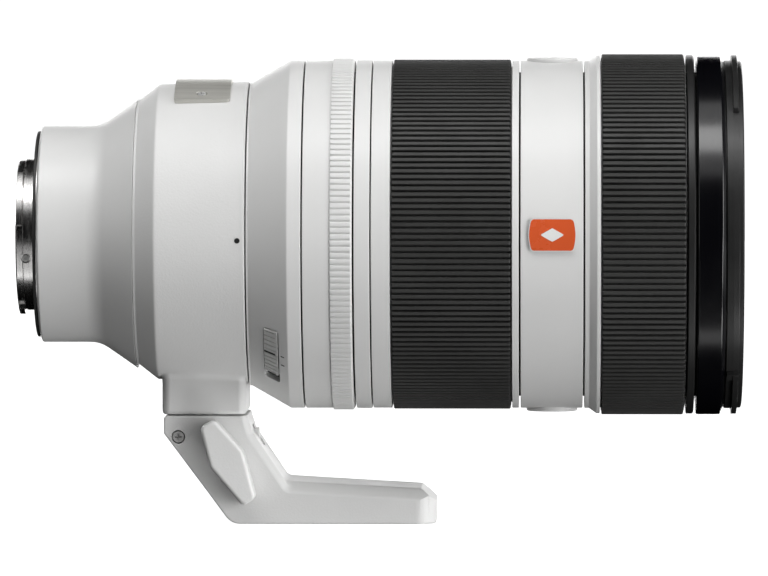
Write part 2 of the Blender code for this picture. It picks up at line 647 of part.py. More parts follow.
def drives():
    cam = tube("zoom_cam_barrel", CAM_BARREL, *CAM_R, "brass")
    key = [(KEY_X - 2.5, 43.4), (KEY_X - 2.5, 47.0), (KEY_X + 2.5, 47.0), (KEY_X + 2.5, 43.4)]
    combine(cam, sector("cam_key", key, (KEY_ANGLE - 3, KEY_ANGLE + 3)), "UNION")
    combine(cam, cam_slot("variator_slot", VARIATOR))
    combine(cam, cam_slot("compensator_slot", COMPENSATOR))
    sliding_cell("variator_cell", VARIATOR["x"], 30.0, VARIATOR["angle"])
    lens("variator_lens", VARIATOR["x"] + 0.9, 29.6, 3.6, -1.2, -0.2)
    sliding_cell("compensator_cell", COMPENSATOR["x"], 27.0, COMPENSATOR["angle"])
    lens("compensator_lens", COMPENSATOR["x"] + 0.9, 26.6, 3.6, 1.5, -0.4)
    focus = sliding_cell("focus_cell", FOCUS_GROUP_X, 31.0)
    motor_side = around(MOTOR_ANGLE, FOCUS_GROUP_X, 40.6)
    combine(focus, motor_block("motor_clearance", motor_side, (15, 6.0, 3.7)))
    lens("focus_lens", FOCUS_GROUP_X + 0.9, 30.6, 3.6, 1.8, -0.8)
    motor_block("focus_motor", motor_side, (9, 5.0, 2.6), "matte_black")


def motor_block(name, centre, half, look=None):
    """A box whose thin way points at the optical axis."""
    bm = bmesh.new()
    bmesh.ops.create_cube(bm, size=2 * MM)
    bmesh.ops.scale(bm, vec=half, verts=bm.verts)
    obj = add(name, mesh_from(bm, name), look, location=centre)
    obj.rotation_euler = (math.atan2(-centre.y, centre.z), 0, 0)
    return obj


def optics():
    front = turned("front_cell", [
        (168.0, 36.0), (168.0, 44.2), (190.4, 44.2), (190.4, 41.3), (171.0, 41.3), (171.0, 36.0),
    ], "matte_black")
    for i, angle in enumerate(ROD_ANGLES, 1):
        centre = around(angle, 0, ROD_CIRCLE)
        rod_seat = lengthwise(f"rod_seat_{i}", (166, 172), centre.y, centre.z, ROD_R + GAP, steps=12)
        combine(front, rod_seat)
    turned("front_retaining_ring", [
        (191.3, 41.3), (191.3, 47.2), (193.1, 47.2), (192.6, 43.6), (191.8, 41.3),
    ], "matte_black")
    lens("front_element", 184.3, 40.9, 5.4, 4.8, -2.4)
    turned("rear_cell", [
        (5.4, 15.3), (5.4, 21.8), (9.0, 26.5), (22.0, 26.5), (22.0, 24.0), (11.0, 17.2), (7.0, 17.2),
        (7.0, 15.3),
    ], "matte_black", steps=24)
    lens("rear_element", 9.5, 16.9, 3.6, 1.6, -0.6)
    turned("main_board", [(22.5, 20.0), (22.5, 28.0), (24.1, 28.0), (24.1, 20.0)], "circuit", steps=24)
    turned("iris_unit", [
        (49.0, 26.9), (49.0, 29.5), (61.0, 29.5), (61.0, 37.2), (70.0, 37.2), (70.0, 34.0), (66.5, 34.0),
        (66.5, 19.0), (64.0, 19.0), (64.0, 24.5), (60.5, 26.9),
    ], "matte_black", steps=24)
    lens("relay_lens", 55.0, 26.5, 7.0, 2.2, 2.2)


foot()
collar()
mount()
tubes()
shells()
rings()
drives()
optics()
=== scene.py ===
"""Looks of the white telephoto zoom lens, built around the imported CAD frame.

Lengths in the piece functions are millimetres in the lens's own frame: x from the camera flange, r from the
optical axis. Angles are degrees around the axis from the -Y side, 90 at the top. Meshes are made in metres.
"""

import json
import math

import bmesh
import bpy
import numpy as np
from mathutils import Matrix, Vector


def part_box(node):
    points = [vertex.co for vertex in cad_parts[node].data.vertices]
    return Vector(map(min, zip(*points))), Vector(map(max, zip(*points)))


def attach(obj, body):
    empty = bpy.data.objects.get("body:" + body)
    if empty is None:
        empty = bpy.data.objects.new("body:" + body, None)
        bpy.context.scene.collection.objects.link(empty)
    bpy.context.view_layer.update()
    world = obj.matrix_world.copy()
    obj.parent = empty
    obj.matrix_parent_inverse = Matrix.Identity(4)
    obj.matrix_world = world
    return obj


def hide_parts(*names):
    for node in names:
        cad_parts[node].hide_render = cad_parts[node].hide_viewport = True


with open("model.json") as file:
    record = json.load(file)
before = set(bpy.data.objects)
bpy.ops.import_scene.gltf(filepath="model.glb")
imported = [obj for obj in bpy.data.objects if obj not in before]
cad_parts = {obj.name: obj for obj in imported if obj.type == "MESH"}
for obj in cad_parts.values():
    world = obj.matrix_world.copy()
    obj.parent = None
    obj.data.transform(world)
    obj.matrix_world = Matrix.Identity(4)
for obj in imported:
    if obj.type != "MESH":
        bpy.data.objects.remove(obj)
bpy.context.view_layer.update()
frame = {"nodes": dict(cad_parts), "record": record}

MM = 0.001
MOUNTS = {m["name"]: Vector(m["pos_m"]) for m in frame["record"]["mounts"]}
FLANGE_X = MOUNTS["camera_flange"].x / MM
GRIP_LOW, GRIP_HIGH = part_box("zoom_grip")
AXIS_Z = (GRIP_LOW.z + GRIP_HIGH.z) / 2 / MM
ROUND = 256
REAR_R = 30.85
COLLAR_BACK, COLLAR_FRONT = 28.7, 60.4
PAD_BACK, PAD_FRONT, PAD_BOTTOM, PAD_HALF = 36.1, 60.0, -50.75, 17.0
# The switch housing's cone: (x, r) where it starts and where it ends
CONE_BACK, CONE_FRONT = (61.3, 43.25), (72.4, 49.6)
CONE_RISE = (CONE_FRONT[1] - CONE_BACK[1]) / (CONE_FRONT[0] - CONE_BACK[0])
KNOB_X, KNOB_ANGLE = 48, 180
CLICK_X = 67.7
BUTTON_X = 146.8
GRIP_RIBS = 182
KNURL_RIBS = 180


# Materials -------------------------

def node(tree, kind, **settings):
    made = tree.nodes.new(kind)
    for key, value in settings.items():
        setattr(made, key, value)
    return made


def coordinates(tree, stretch=(1, 1, 1)):
    """The piece's own coordinates in metres, squeezed along X, Y and Z."""
    source = node(tree, "ShaderNodeTexCoord")
    mapping = node(tree, "ShaderNodeMapping")
    mapping.inputs["Scale"].default_value = stretch
    tree.links.new(source.outputs["Object"], mapping.inputs["Vector"])
    return mapping.outputs["Vector"]


def noise(tree, vector, scale, detail=2.0, roughness=0.5):
    made = node(tree, "ShaderNodeTexNoise")
    made.inputs["Scale"].default_value = scale
    made.inputs["Detail"].default_value = detail
    made.inputs["Roughness"].default_value = roughness
    tree.links.new(vector, made.inputs["Vector"])
    return made.outputs["Fac"]


def spread(tree, value, low, high, start=0.3, end=0.7):
    """A noise's middle range stretched over low to high."""
    made = node(tree, "ShaderNodeMapRange")
    for name, number in (("From Min", start), ("From Max", end), ("To Min", low), ("To Max", high)):
        made.inputs[name].default_value = number
    tree.links.new(value, made.inputs["Value"])
    return made.outputs["Result"]


def tinted(tree, value, dark, light):
    """A colour between two, by value."""
    made = node(tree, "ShaderNodeMix", data_type="RGBA")
    made.inputs["A"].default_value = (*dark, 1)
    made.inputs["B"].default_value = (*light, 1)
    tree.links.new(value, made.inputs["Factor"])
    return made.outputs["Result"]


def finish(name, colour, roughness, metallic, grain, relief, mottle=0.04, rough_spread=0.06,
           stretch=(1, 1, 1), **sockets):
    """A surface with a mottled colour, an uneven gloss and a fine grain that stands out as relief."""
    made = bpy.data.materials.new(name)
    made.use_nodes = True
    tree = made.node_tree
    shader = tree.nodes["Principled BSDF"]
    shader.inputs["Metallic"].default_value = metallic
    for socket, value in sockets.items():
        shader.inputs[socket.replace("_", " ")].default_value = value
    where = coordinates(tree, stretch)
    clouds = noise(tree, where, 45.0, 4.0)
    dark = [c * (1 - mottle) for c in colour]
    light = [min(1.0, c * (1 + mottle)) for c in colour]
    tree.links.new(tinted(tree, spread(tree, clouds, 0, 1), dark, light), shader.inputs["Base Color"])
    smudges = noise(tree, where, 120.0, 5.0, 0.6)
    gloss = spread(tree, smudges, max(0.02, roughness - rough_spread), roughness + rough_spread)
    tree.links.new(gloss, shader.inputs["Roughness"])
    bump = node(tree, "ShaderNodeBump")
    bump.inputs["Strength"].default_value = 1.0
    bump.inputs["Distance"].default_value = relief
    tree.links.new(noise(tree, where, grain, 3.0, 0.55), bump.inputs["Height"])
    tree.links.new(bump.outputs["Normal"], shader.inputs["Normal"])
    return made


WHITE = (0.735, 0.735, 0.728)
# Each finish's colour, roughness, metallic, grain scale and relief in metres, and what else is set
FINISH_SETTINGS = {
    "white_smooth": (WHITE, 0.42, 0, 2600, 0.000006,
                     dict(mottle=0.015, Coat_Weight=0.12, Coat_Roughness=0.35)),
    "white_grained": (WHITE, 0.5, 0, 1700, 0.00005,
                      dict(mottle=0.02, Coat_Weight=0.08, Coat_Roughness=0.45)),
    "grip_rubber": ((0.029, 0.029, 0.028), 0.58, 0, 3000, 0.00002, dict(mottle=0.12, rough_spread=0.08)),
    "gloss_black": ((0.002, 0.002, 0.003), 0.2, 0, 900, 0.000002,
                    dict(mottle=0.1, rough_spread=0.03, Coat_Weight=0.8, Coat_Roughness=0.18)),
    "satin_black": ((0.016, 0.016, 0.016), 0.36, 0, 3500, 0.000008, dict(mottle=0.1)),
    "matte_black": ((0.012, 0.012, 0.012), 0.7, 0, 2500, 0.00001, dict(mottle=0.15)),
    "mount_steel": ((0.78, 0.77, 0.76), 0.24, 1, 1400, 0.000002,
                    dict(mottle=0.05, rough_spread=0.05, stretch=(14, 1, 1))),
    "screw_steel": ((0.72, 0.72, 0.71), 0.42, 0.6, 3000, 0.000004, dict(mottle=0.08)),
    "painted_screw": ((0.62, 0.62, 0.61), 0.45, 0.3, 3000, 0.000004),
    "badge_metal": ((0.82, 0.82, 0.81), 0.45, 0.3, 2500, 0.000004),
    "symbol_white": ((0.8, 0.8, 0.79), 0.3, 0, 2500, 0.000003),
    "brushed_plate": ((0.68, 0.67, 0.625), 0.42, 0.6, 700, 0.000006,
                      dict(mottle=0.1, rough_spread=0.08, stretch=(1, 16, 16))),
    "gold": ((0.83, 0.6, 0.25), 0.22, 1, 3000, 0.000003),
    "cam_metal": ((0.3, 0.3, 0.31), 0.35, 1, 1500, 0.000005, dict(stretch=(10, 1, 1))),
    "orange_enamel": ((0.68, 0.105, 0.03), 0.25, 0, 1200, 0.000002,
                      dict(mottle=0.05, Coat_Weight=0.5, Coat_Roughness=0.08)),
    "circuit_board": ((0.015, 0.12, 0.05), 0.4, 0, 600, 0.00004),
    "slider_grey": ((0.6, 0.6, 0.59), 0.45, 0, 2200, 0.00001),
    "switch_grey": ((0.36, 0.355, 0.345), 0.45, 0, 2200, 0.00001),
    "dial_grey": ((0.12, 0.12, 0.12), 0.5, 0, 2200, 0.000005),
    "ink_black": ((0.012, 0.012, 0.012), 0.5, 0, 2500, 0.000005),
}


def all_finishes():
    made = {}
    for name, (colour, roughness, metallic, grain, relief, *more) in FINISH_SETTINGS.items():
        made[name] = finish(name, colour, roughness, metallic, grain, relief, **(more[0] if more else {}))
    return made


FINISHES = all_finishes()


def glass(name, tint, film):
    """Coated optical glass: clear, with a thin film that colours what it reflects."""
    made = finish(name, tint, 0.02, 0.0, 200.0, 0.0000002, mottle=0.01, rough_spread=0.005,
                  Transmission_Weight=1.0, IOR=1.6)
    shader = made.node_tree.nodes["Principled BSDF"]
    shader.inputs["Thin Film Thickness"].default_value = film
    shader.inputs["Thin Film IOR"].default_value = 1.38
    return made


FINISHES["front_glass"] = glass("front_glass", (0.93, 0.97, 0.95), 330.0)
FINISHES["inner_glass"] = glass("inner_glass", (0.95, 0.95, 0.99), 420.0)


# Mesh tools ------------------------

def place(x, angle, r):
    """The world point at x from the flange, angle around the axis and r from it."""
    turn = math.radians(angle)
    return Vector((FLANGE_X + x, -r * math.cos(turn), AXIS_Z + r * math.sin(turn))) * MM


def outward(angle):
    """The direction away from the axis at an angle."""
    turn = math.radians(angle)
    return Vector((0, -math.cos(turn), math.sin(turn)))


def show(name, mesh, look, body, stands_for=None, sharp=38.0):
    """Links a finished mesh as a piece that rides on a body, and may stand for a CAD node."""
    face_out(mesh)
    obj = bpy.data.objects.new(name, mesh)
    bpy.context.scene.collection.objects.link(obj)
    mesh.materials.clear()
    mesh.materials.append(FINISHES[look])
    mesh.shade_smooth()
    mesh.set_sharp_from_angle(angle=math.radians(sharp))
    weighted = obj.modifiers.new("Even normals", "WEIGHTED_NORMAL")
    weighted.keep_sharp = True
    weighted.weight = 80
    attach(obj, body)
    if stands_for:
        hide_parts(stands_for)


def face_out(mesh):
    """Turns an inside-out mesh the right way, and welds what coincides."""
    bm = bmesh.new()
    bm.from_mesh(mesh)
    bmesh.ops.remove_doubles(bm, verts=bm.verts, dist=2e-8)
    if bm.calc_volume(signed=True) < 0:
        bmesh.ops.reverse_faces(bm, faces=bm.faces)
    bm.to_mesh(mesh)
    bm.free()


def rounded(points, radius=0.25, arcs=4, same=False, limit=0.45):
    """A closed outline with its corners made round. A point may carry its own radius as a third number.
    The same number of points stands at each corner where same is true, whatever its bend."""
    out = []
    count = len(points)
    for i, point in enumerate(points):
        here = Vector(point[:2])
        before = Vector(points[i - 1][:2]) - here
        after = Vector(points[(i + 1) % count][:2]) - here
        wanted = point[2] if len(point) > 2 else radius
        if wanted < 1e-6:
            out.append(tuple(here))
            continue
        bend = math.pi - before.angle(after, math.pi)
        if bend < 0.03:
            out += [tuple(here)] * (arcs + 1 if same else 1)
            continue
        reach = min(wanted * math.tan(bend / 2), before.length * limit, after.length * limit)
        size = reach / math.tan(bend / 2)
        start = here + before.normalized() * reach
        end = here + after.normalized() * reach
        inwards = (before.normalized() + after.normalized()).normalized()
        centre = here + inwards * (size / math.cos(bend / 2))
        first = start - centre
        last = end - centre
        steps = arcs if same else max(1, round(arcs * bend / (math.pi / 2)))
        for k in range(steps + 1):
            out.append(tuple(centre + first.slerp(last, k / steps) * size))
    return out


def grid_mesh(name, rows, closed_rows=True):
    """A closed skin through rows of points: each row is a loop. The last row joins the first, or else both
    are capped."""
    points = np.array(rows, float)
    n, m = points.shape[:2]
    index = np.arange(n * m).reshape(n, m)
    down = np.roll(index, -1, axis=0) if closed_rows else index[1:]
    here = index if closed_rows else index[:-1]
    across = np.roll(here, -1, axis=1)
    down_across = np.roll(down, -1, axis=1)
    quads = np.stack([here, across, down_across, down], axis=-1).reshape(-1, 4)
    faces = quads.tolist()
    if not closed_rows:
        faces += [index[0].tolist()[::-1], index[-1].tolist()]
    mesh = bpy.data.meshes.new(name)
    mesh.from_pydata(points.reshape(-1, 3).tolist(), [], faces)
    face_out(mesh)
    return mesh


def turned_rows(angles, outline_at):
    """Rows of world points: one outline of (x, r) at each angle."""
    rows = []
    for angle in angles:
        outline = np.array(outline_at(angle), float)
        turn = math.radians(angle)
        x = (FLANGE_X + outline[:, 0]) * MM
        y = -outline[:, 1] * math.cos(turn) * MM
        z = (AXIS_Z + outline[:, 1] * math.sin(turn)) * MM
        rows.append(np.stack([x, y, z], axis=1))
    return rows


def even_angles(count=ROUND):
    return [360.0 * i / count for i in range(count)]


def lathe_mesh(name, outline, radius=0.25, arcs=4, steps=ROUND):
    profile = rounded(outline, radius, arcs)
    return grid_mesh(name, turned_rows(even_angles(steps), lambda angle: profile))


def lathe(name, outline, look, body, stands_for=None, radius=0.25, arcs=4, steps=ROUND):
    """A closed outline turned about the optical axis."""
    show(name, lathe_mesh(name, outline, radius, arcs, steps), look, body, stands_for)


def from_bmesh(bm, name):
    mesh = bpy.data.meshes.new(name)
    bmesh.ops.recalc_face_normals(bm, faces=bm.faces)
    bm.to_mesh(mesh)
    bm.free()
    return mesh


def boolean(mesh, tools):
    """The mesh with each of the tool meshes cut from it."""
    face_out(mesh)
    body = bpy.data.objects.new("work", mesh)
    bpy.context.scene.collection.objects.link(body)
    made = []
    for tool in tools:
        face_out(tool)
        other = bpy.data.objects.new("tool", tool)
        bpy.context.scene.collection.objects.link(other)
        modifier = body.modifiers.new("Boolean", "BOOLEAN")
        modifier.operation = "DIFFERENCE"
        modifier.solver = "MANIFOLD"
        modifier.object = other
        made.append(other)
    graph = bpy.context.evaluated_depsgraph_get()
    result = bpy.data.meshes.new_from_object(body.evaluated_get(graph), depsgraph=graph)
    for other in (body, *made):
        bpy.data.objects.remove(other)
    return result


def soften(bm, edges, offset, segments, profile=0.5):
    bmesh.ops.bevel(bm, geom=edges, offset=offset, segments=segments, profile=profile, affect="EDGES")


def prism(corners, along):
    """A flat outline of points, drawn out along a vector."""
    bm = bmesh.new()
    face = bm.faces.new([bm.verts.new(corner) for corner in corners])
    grown = bmesh.ops.extrude_face_region(bm, geom=[face], use_keep_orig=True)["geom"]
    moved = [v for v in grown if isinstance(v, bmesh.types.BMVert)]
    bmesh.ops.translate(bm, vec=along, verts=moved)
    bmesh.ops.recalc_face_normals(bm, faces=bm.faces)
    return bm


def rod_mesh(start, end, radius, sides=32, tip_radius=None, rounding=0.0):
    """A cylinder or cone between two world points; lengths in metres."""
    bm = bmesh.new()
    axis = end - start
    bmesh.ops.create_cone(bm, cap_ends=True, segments=sides, radius1=radius,
                          radius2=radius if tip_radius is None else tip_radius, depth=axis.length)
    if rounding:
        rims = [e for e in bm.edges if any(len(f.verts) > 4 for f in e.link_faces)]
        soften(bm, rims, rounding, 3)
    turn = axis.to_track_quat("Z", "Y").to_matrix().to_4x4()
    bm.transform(Matrix.Translation((start + end) / 2) @ turn)
    return from_bmesh(bm, "rod")


def slab_mesh(outline, low, high, bevel=0.0, segments=3, cuts=()):
    """An outline of (u, v) points, thick from low to high along w. All in the outline's own units."""
    bm = prism([(u, v, low) for u, v in outline], (0, 0, high - low))
    if bevel:
        top = [e for e in bm.edges if all(abs(v.co.z - high) < 1e-9 for v in e.verts)]
        soften(bm, top, bevel, segments)
    for value in cuts:
        bmesh.ops.bisect_plane(bm, geom=[*bm.verts, *bm.edges, *bm.faces], plane_co=(value, 0, 0),
                               plane_no=(1, 0, 0))
    return bm


def wrap(bm, x, angle, r, slope=0.0):
    """Bends a flat slab around the lens: u runs around it, v towards the front and w outwards, in
    millimetres. The slope tilts it to lie on a cone."""
    lean = math.radians(slope)
    for vert in bm.verts:
        u, v, w = vert.co
        along = v * math.cos(lean) - w * math.sin(lean)
        out = v * math.sin(lean) + w * math.cos(lean)
        vert.co = place(x + along, angle + math.degrees(u / r), r + out)
    return from_bmesh(bm, "wrapped")


def spaced(low, high, step):
    count = max(1, math.ceil((high - low) / step))
    return [low + (high - low) * i / count for i in range(1, count)]


def box_outline(half_u, half_v, radius=0.0, arcs=5):
    corners = [(-half_u, -half_v), (half_u, -half_v), (half_u, half_v), (-half_u, half_v)]
    return rounded(corners, radius, arcs) if radius else corners


# Screws ----------------------------

def phillips(name, point, way, radius, body, stands_for, depth=0.8, dome=0.12, turned=20,
             look="screw_steel"):
    """A cross-recessed screw head; its top is at the point. Lengths in millimetres."""
    sides, pit_sides = 48, 24
    blade_size = (radius * 1.15 * MM, radius * 0.26 * MM, depth * 1.1 * MM)
    blade_lift = Matrix.Translation((0, 0, depth * 0.62 * MM))
    pit_lift = Matrix.Translation((0, 0, depth * 0.45 * MM))
    bm = bmesh.new()
    bmesh.ops.create_cone(bm, cap_ends=True, segments=sides, radius1=radius * MM, radius2=radius * MM,
                          depth=depth * MM)
    rims = [e for e in bm.edges if all(v.co.z > 0 for v in e.verts)]
    soften(bm, rims, dome * MM, 3, 0.6)
    head = from_bmesh(bm, "head")
    blades = []
    for quarter in (0, math.pi / 2):
        blade = bmesh.new()
        bmesh.ops.create_cube(blade, size=1)
        bmesh.ops.scale(blade, vec=blade_size, verts=blade.verts)
        blade.transform(Matrix.Rotation(quarter + math.radians(turned), 4, "Z") @ blade_lift)
        blades.append(from_bmesh(blade, "blade"))
    pit = bmesh.new()
    bmesh.ops.create_cone(pit, cap_ends=True, segments=pit_sides, radius1=0.02 * MM,
                          radius2=radius * 0.3 * MM, depth=depth * MM)
    pit.transform(pit_lift)
    mesh = boolean(head, [*blades, from_bmesh(pit, "pit")])
    turn = way.to_track_quat("Z", "Y").to_matrix().to_4x4()
    drop = Matrix.Translation((0, 0, -depth / 2 * MM))
    mesh.transform(Matrix.Translation(point) @ turn @ drop)
    show(name, mesh, look, body, stands_for, sharp=30.0)


# Rear end --------------------------

def widened(angle, centre, half, edge=0.6):
    """1 inside a stretch of angles, 0 outside it, and a short ramp between."""
    away = abs((angle - centre + 180) % 360 - 180)
    return min(1.0, max(0.0, (half + edge / 2 - away) / edge))


def stretch_angles(stretches, edge=0.6):
    """Even angles, with more where each stretch (centre, half) starts and ends."""
    found = set(even_angles())
    for centre, half in stretches:
        for side in (-1, 1):
            for offset in (-edge / 2, -edge / 4, 0, edge / 4, edge / 2):
                found.add((centre + side * half + offset) % 360)
    return sorted(found)


def mount():
    lugs = ((-90, 22), (30, 22), (150, 22))

    def outline(angle):
        lug = max(widened(angle, centre, half) for centre, half in lugs)
        lug_r = 21.35 + 1.5 * lug
        return rounded([
            (-5.3, 19.5), (-5.3, 21.1), (-5.1, lug_r - 0.2, 0.08), (-5.0, lug_r, 0.08),
            (-3.4, lug_r, 0.08), (-3.3, 21.3, 0.05), (-3.2, 21.3, 0.05), (-3.15, 21.7, 0.08),
            (0.3, 21.7, 0.03), (0.3, 23.2, 0.03), (0, 23.2, 0.08), (0, 28.3, 0.3), (2.2, 28.3), (2.2, 19.5),
        ], 0.12, 3, same=True)

    mesh = grid_mesh("bayonet", turned_rows(stretch_angles(lugs), outline))
    screw_r = 25.7
    screw_angles = (45, 135, 225, 315)
    side_x, side_angle = -2.35, -17
    seats = [rod_mesh(place(-0.4, angle, screw_r), place(1.9, angle, screw_r), 2.45 * MM, 40, 1.3 * MM)
             for angle in screw_angles]
    seats.append(rod_mesh(place(side_x, side_angle, 20.9), place(side_x, side_angle, 24), 1.42 * MM, 40))
    mesh = boolean(mesh, seats)
    show("bayonet_mount", mesh, "mount_steel", "barrel", "mount_bayonet", sharp=30)
    for i, angle in enumerate(screw_angles, 1):
        phillips(f"mount_screw_head_{i}", place(0.12, angle, screw_r), Vector((-1, 0, 0)), 1.75, "barrel",
                 f"mount_screw_{i}")
    phillips("bayonet_side_screw_head", place(side_x, side_angle, 21.45), outward(side_angle), 1.05,
             "barrel", "bayonet_side_screw", depth=1.0, dome=0.06)
    lathe("mount_gasket_ring", [(0, 28.6), (-0.02, 29.0), (0.1, 29.35), (0.75, 29.35), (0.75, 28.6)],
          "grip_rubber", "barrel", "mount_gasket", radius=0.12)
    lathe("rear_casing", [
        (1.05, 28.65), (1.05, 29.65, 0.1), (1.55, REAR_R, 0.5), (17.8, REAR_R, 9.0), (28.6, 38.3, 0.12),
        (28.6, 31.0), (26.3, 31.0), (26.3, 34.2), (19.2, 29.4), (5.0, 28.9), (5.0, 22.2), (2.5, 22.2),
        (2.5, 28.65),
    ], "white_smooth", "barrel", "rear_barrel", radius=0.2, arcs=10)


def contacts():
    """The moulded arc that carries the gold contact pins, inside the throat."""
    bm = slab_mesh(box_outline(8.9, 3.6, 0.5), 0.0, 2.7, 0.2, cuts=spaced(-9, 9, 0.9))
    mesh = wrap(bm, 0.2, 270, 17.0)
    for vert in mesh.vertices:
        offset = Vector((0, vert.co.y, vert.co.z - AXIS_Z * MM))
        r = offset.length
        limit = 19.15 * MM
        if r > limit:
            vert.co.y *= limit / r
            vert.co.z = AXIS_Z * MM + (vert.co.z - AXIS_Z * MM) * limit / r
    show("contact_carrier", mesh, "matte_black", "barrel", "contact_block")
    pins, pin_step, pin_r = 10, 5.4, 18.0
    for i in range(pins):
        angle = 270 + (i - (pins - 1) / 2) * pin_step
        pin = rod_mesh(place(-3.72, angle, pin_r), place(-2.9, angle, pin_r), 0.55 * MM, 24,
                       rounding=0.15 * MM)
        show(f"contact_pin_{i + 1}", pin, "gold", "barrel")


def rear_optics():
    ridges = []
    for i in range(6):
        x = 8.2 + i * 2.2
        r = 17.6 + i * 1.15
        ridges += [(x, r, 0.05), (x + 1.3, r + 0.2, 0.05), (x + 1.35, r + 0.95, 0.05)]
    lathe("rear_lens_cell", [
        (5.4, 15.3), (5.4, 18.8, 0.1), (5.9, 19.2, 0.1), (5.9, 21.8), (9.0, 26.5), (22.4, 26.5),
        (22.4, 25.6), *reversed(ridges), (7.3, 16.9), (7.3, 15.3),
    ], "matte_black", "barrel", "rear_cell", radius=0.15, arcs=2, steps=160)
    lathe_lens("rear_lens", 9.5, 16.4, 3.6, 1.6, -0.6, "inner_glass", "barrel", "rear_element")
    lathe("throat_baffle", [(4.3, 13.2), (4.3, 15.9), (4.8, 15.9), (4.8, 13.2)], "matte_black", "barrel",
          radius=0.1, arcs=2, steps=128)


def lathe_lens(name, x, radius, thickness, front_sag, rear_sag, look, body, stands_for):
    """A lens: both faces are shallow bowls; a positive sag bulges outwards."""
    half = thickness / 2
    rings = 18
    shares = [math.sin(math.pi / 2 * i / rings) for i in range(1, rings + 1)]
    outline = [(x + half + front_sag * (1 - s * s), radius * s) for s in shares]
    outline += [(x - half - rear_sag * (1 - s * s), radius * s) for s in reversed(shares)]
    rows = np.swapaxes(turned_rows(even_angles(160), lambda angle: outline), 0, 1)
    show(name, grid_mesh(name, rows, closed_rows=False), look, body, stands_for, sharp=50)


# Collar ----------------------------

def collar_r(x):
    """The collar's outer radius at x, away from its pad."""
    steps = ((28.7, 38.35), (29.5, 38.35), (34.9, 42.75), (60.4, 43.45))
    return float(np.interp(x, [a for a, _ in steps], [b for _, b in steps]))


def collar_section(ring_r, half, bottom, corner):
    """The collar's outline across the lens: a circle with the pad grown out of its underside."""
    top = -math.sqrt(ring_r ** 2 - half ** 2)
    corners = [(half, top, 2.6), (half, bottom, corner), (-half, bottom, corner), (-half, top, 2.6)]
    edge = math.degrees(math.acos(half / ring_r))
    first, last = -edge + 3.4, 180 + edge - 3.4
    count = 210
    ring = []
    for i in range(count + 1):
        turn = math.radians(first + (last - first) * i / count)
        ring.append((-ring_r * math.cos(turn), ring_r * math.sin(turn), 0))
    return rounded(corners + ring, 0, 7, same=True, limit=0.9)


def section_loop(x, points):
    return [on_foot(x, y, z) for y, z in points]


def collar():
    full = collar_section(collar_r(48), PAD_HALF, PAD_BOTTOM, 1.3)
    turns = [math.atan2(z, -y) for y, z in full]

    def circle(r):
        return [(-r * math.cos(t), r * math.sin(t)) for t in turns]

    def pad(x):
        """The section a little in from the pad's ends, where its upright corners are rounded."""
        inset = min(x - PAD_BACK, PAD_FRONT - x)
        shrink = 2.4 - math.sqrt(max(0.0, 2.4 ** 2 - max(0.0, 2.4 - inset) ** 2))
        lift = 1.0 - math.sqrt(max(0.0, 1.0 - max(0.0, 1.0 - inset) ** 2))
        return collar_section(collar_r(x), PAD_HALF - shrink, PAD_BOTTOM + lift, 1.3)

    steps = [0, 0.08, 0.2, 0.4, 0.7, 1.0, 1.5, 2.0, 2.4]
    stations = [PAD_BACK + s for s in steps] + [42, 48, 54] + [PAD_FRONT - s for s in reversed(steps)]
    loops = [section_loop(x, circle(r)) for x, r in (
        (COLLAR_FRONT, 39.4), (35.2, 39.4), (35.0, 36.9), (COLLAR_BACK, 36.9), (COLLAR_BACK, 38.25),
        (28.74, 38.35), (28.82, 38.39), (29.1, 38.4), (29.3, 38.42), (29.6, 38.55), (34.3, 42.3),
        (34.6, 42.53), (34.9, 42.69), (35.3, 42.76), (PAD_BACK - 0.02, collar_r(PAD_BACK)),
    )]
    loops += [section_loop(x, pad(x)) for x in stations]
    loops += [section_loop(x, circle(r)) for x, r in (
        (PAD_FRONT + 0.02, collar_r(PAD_FRONT)), (60.1, 43.44), (60.27, 43.38), (60.36, 43.25),
        (COLLAR_FRONT, 43.05),
    )]
    mesh = grid_mesh("collar", loops)
    bore = rod_mesh(place(KNOB_X, KNOB_ANGLE, 38), place(KNOB_X, KNOB_ANGLE, 48), 2.3 * MM)
    mesh = boolean(mesh, [bore])
    show("collar_casting", mesh, "white_grained", "collar", "collar_ring")
    spun("collar_knob_boss", [
        (40.5, 2.4), (40.5, 9.0), (42.9, 8.2, 1.5), (43.4, 6.2, 1.2), (46.4, 6.0, 0.4), (46.4, 2.4),
    ], KNOB_X, KNOB_ANGLE, "white_grained", "collar")
    dot = slab_mesh(circle_outline(0.75), 0, 0.1, 0.02)
    show("collar_index_dot", wrap(dot, 58.4, -0.65, collar_r(58.4) + 0.01), "ink_black", "collar")


def circle_outline(radius, sides=40):
    return [(radius * math.cos(math.tau * i / sides), radius * math.sin(math.tau * i / sides))
            for i in range(sides)]


def spun(name, outline, x, angle, look, body, stands_for=None, steps=96, wave=None):
    """A closed outline of (height, radius) turned about the lens's radius at x and an angle. The wave
    changes a point's radius with the turn."""
    profile = np.array(rounded(outline, 0.2, 4))
    turn = np.array(outward(angle).to_track_quat("Z", "Y").to_matrix())
    rows = []
    for i in range(steps):
        spin = math.tau * i / steps
        radii = profile[:, 1] if wave is None else np.array([wave(spin, h, r) for h, r in profile])
        local = np.stack([radii * math.cos(spin), radii * math.sin(spin), profile[:, 0]], axis=1) * MM
        rows.append(local @ turn.T + np.array(place(x, angle, 0)))
    show(name, grid_mesh("spun", rows), look, body, stands_for)


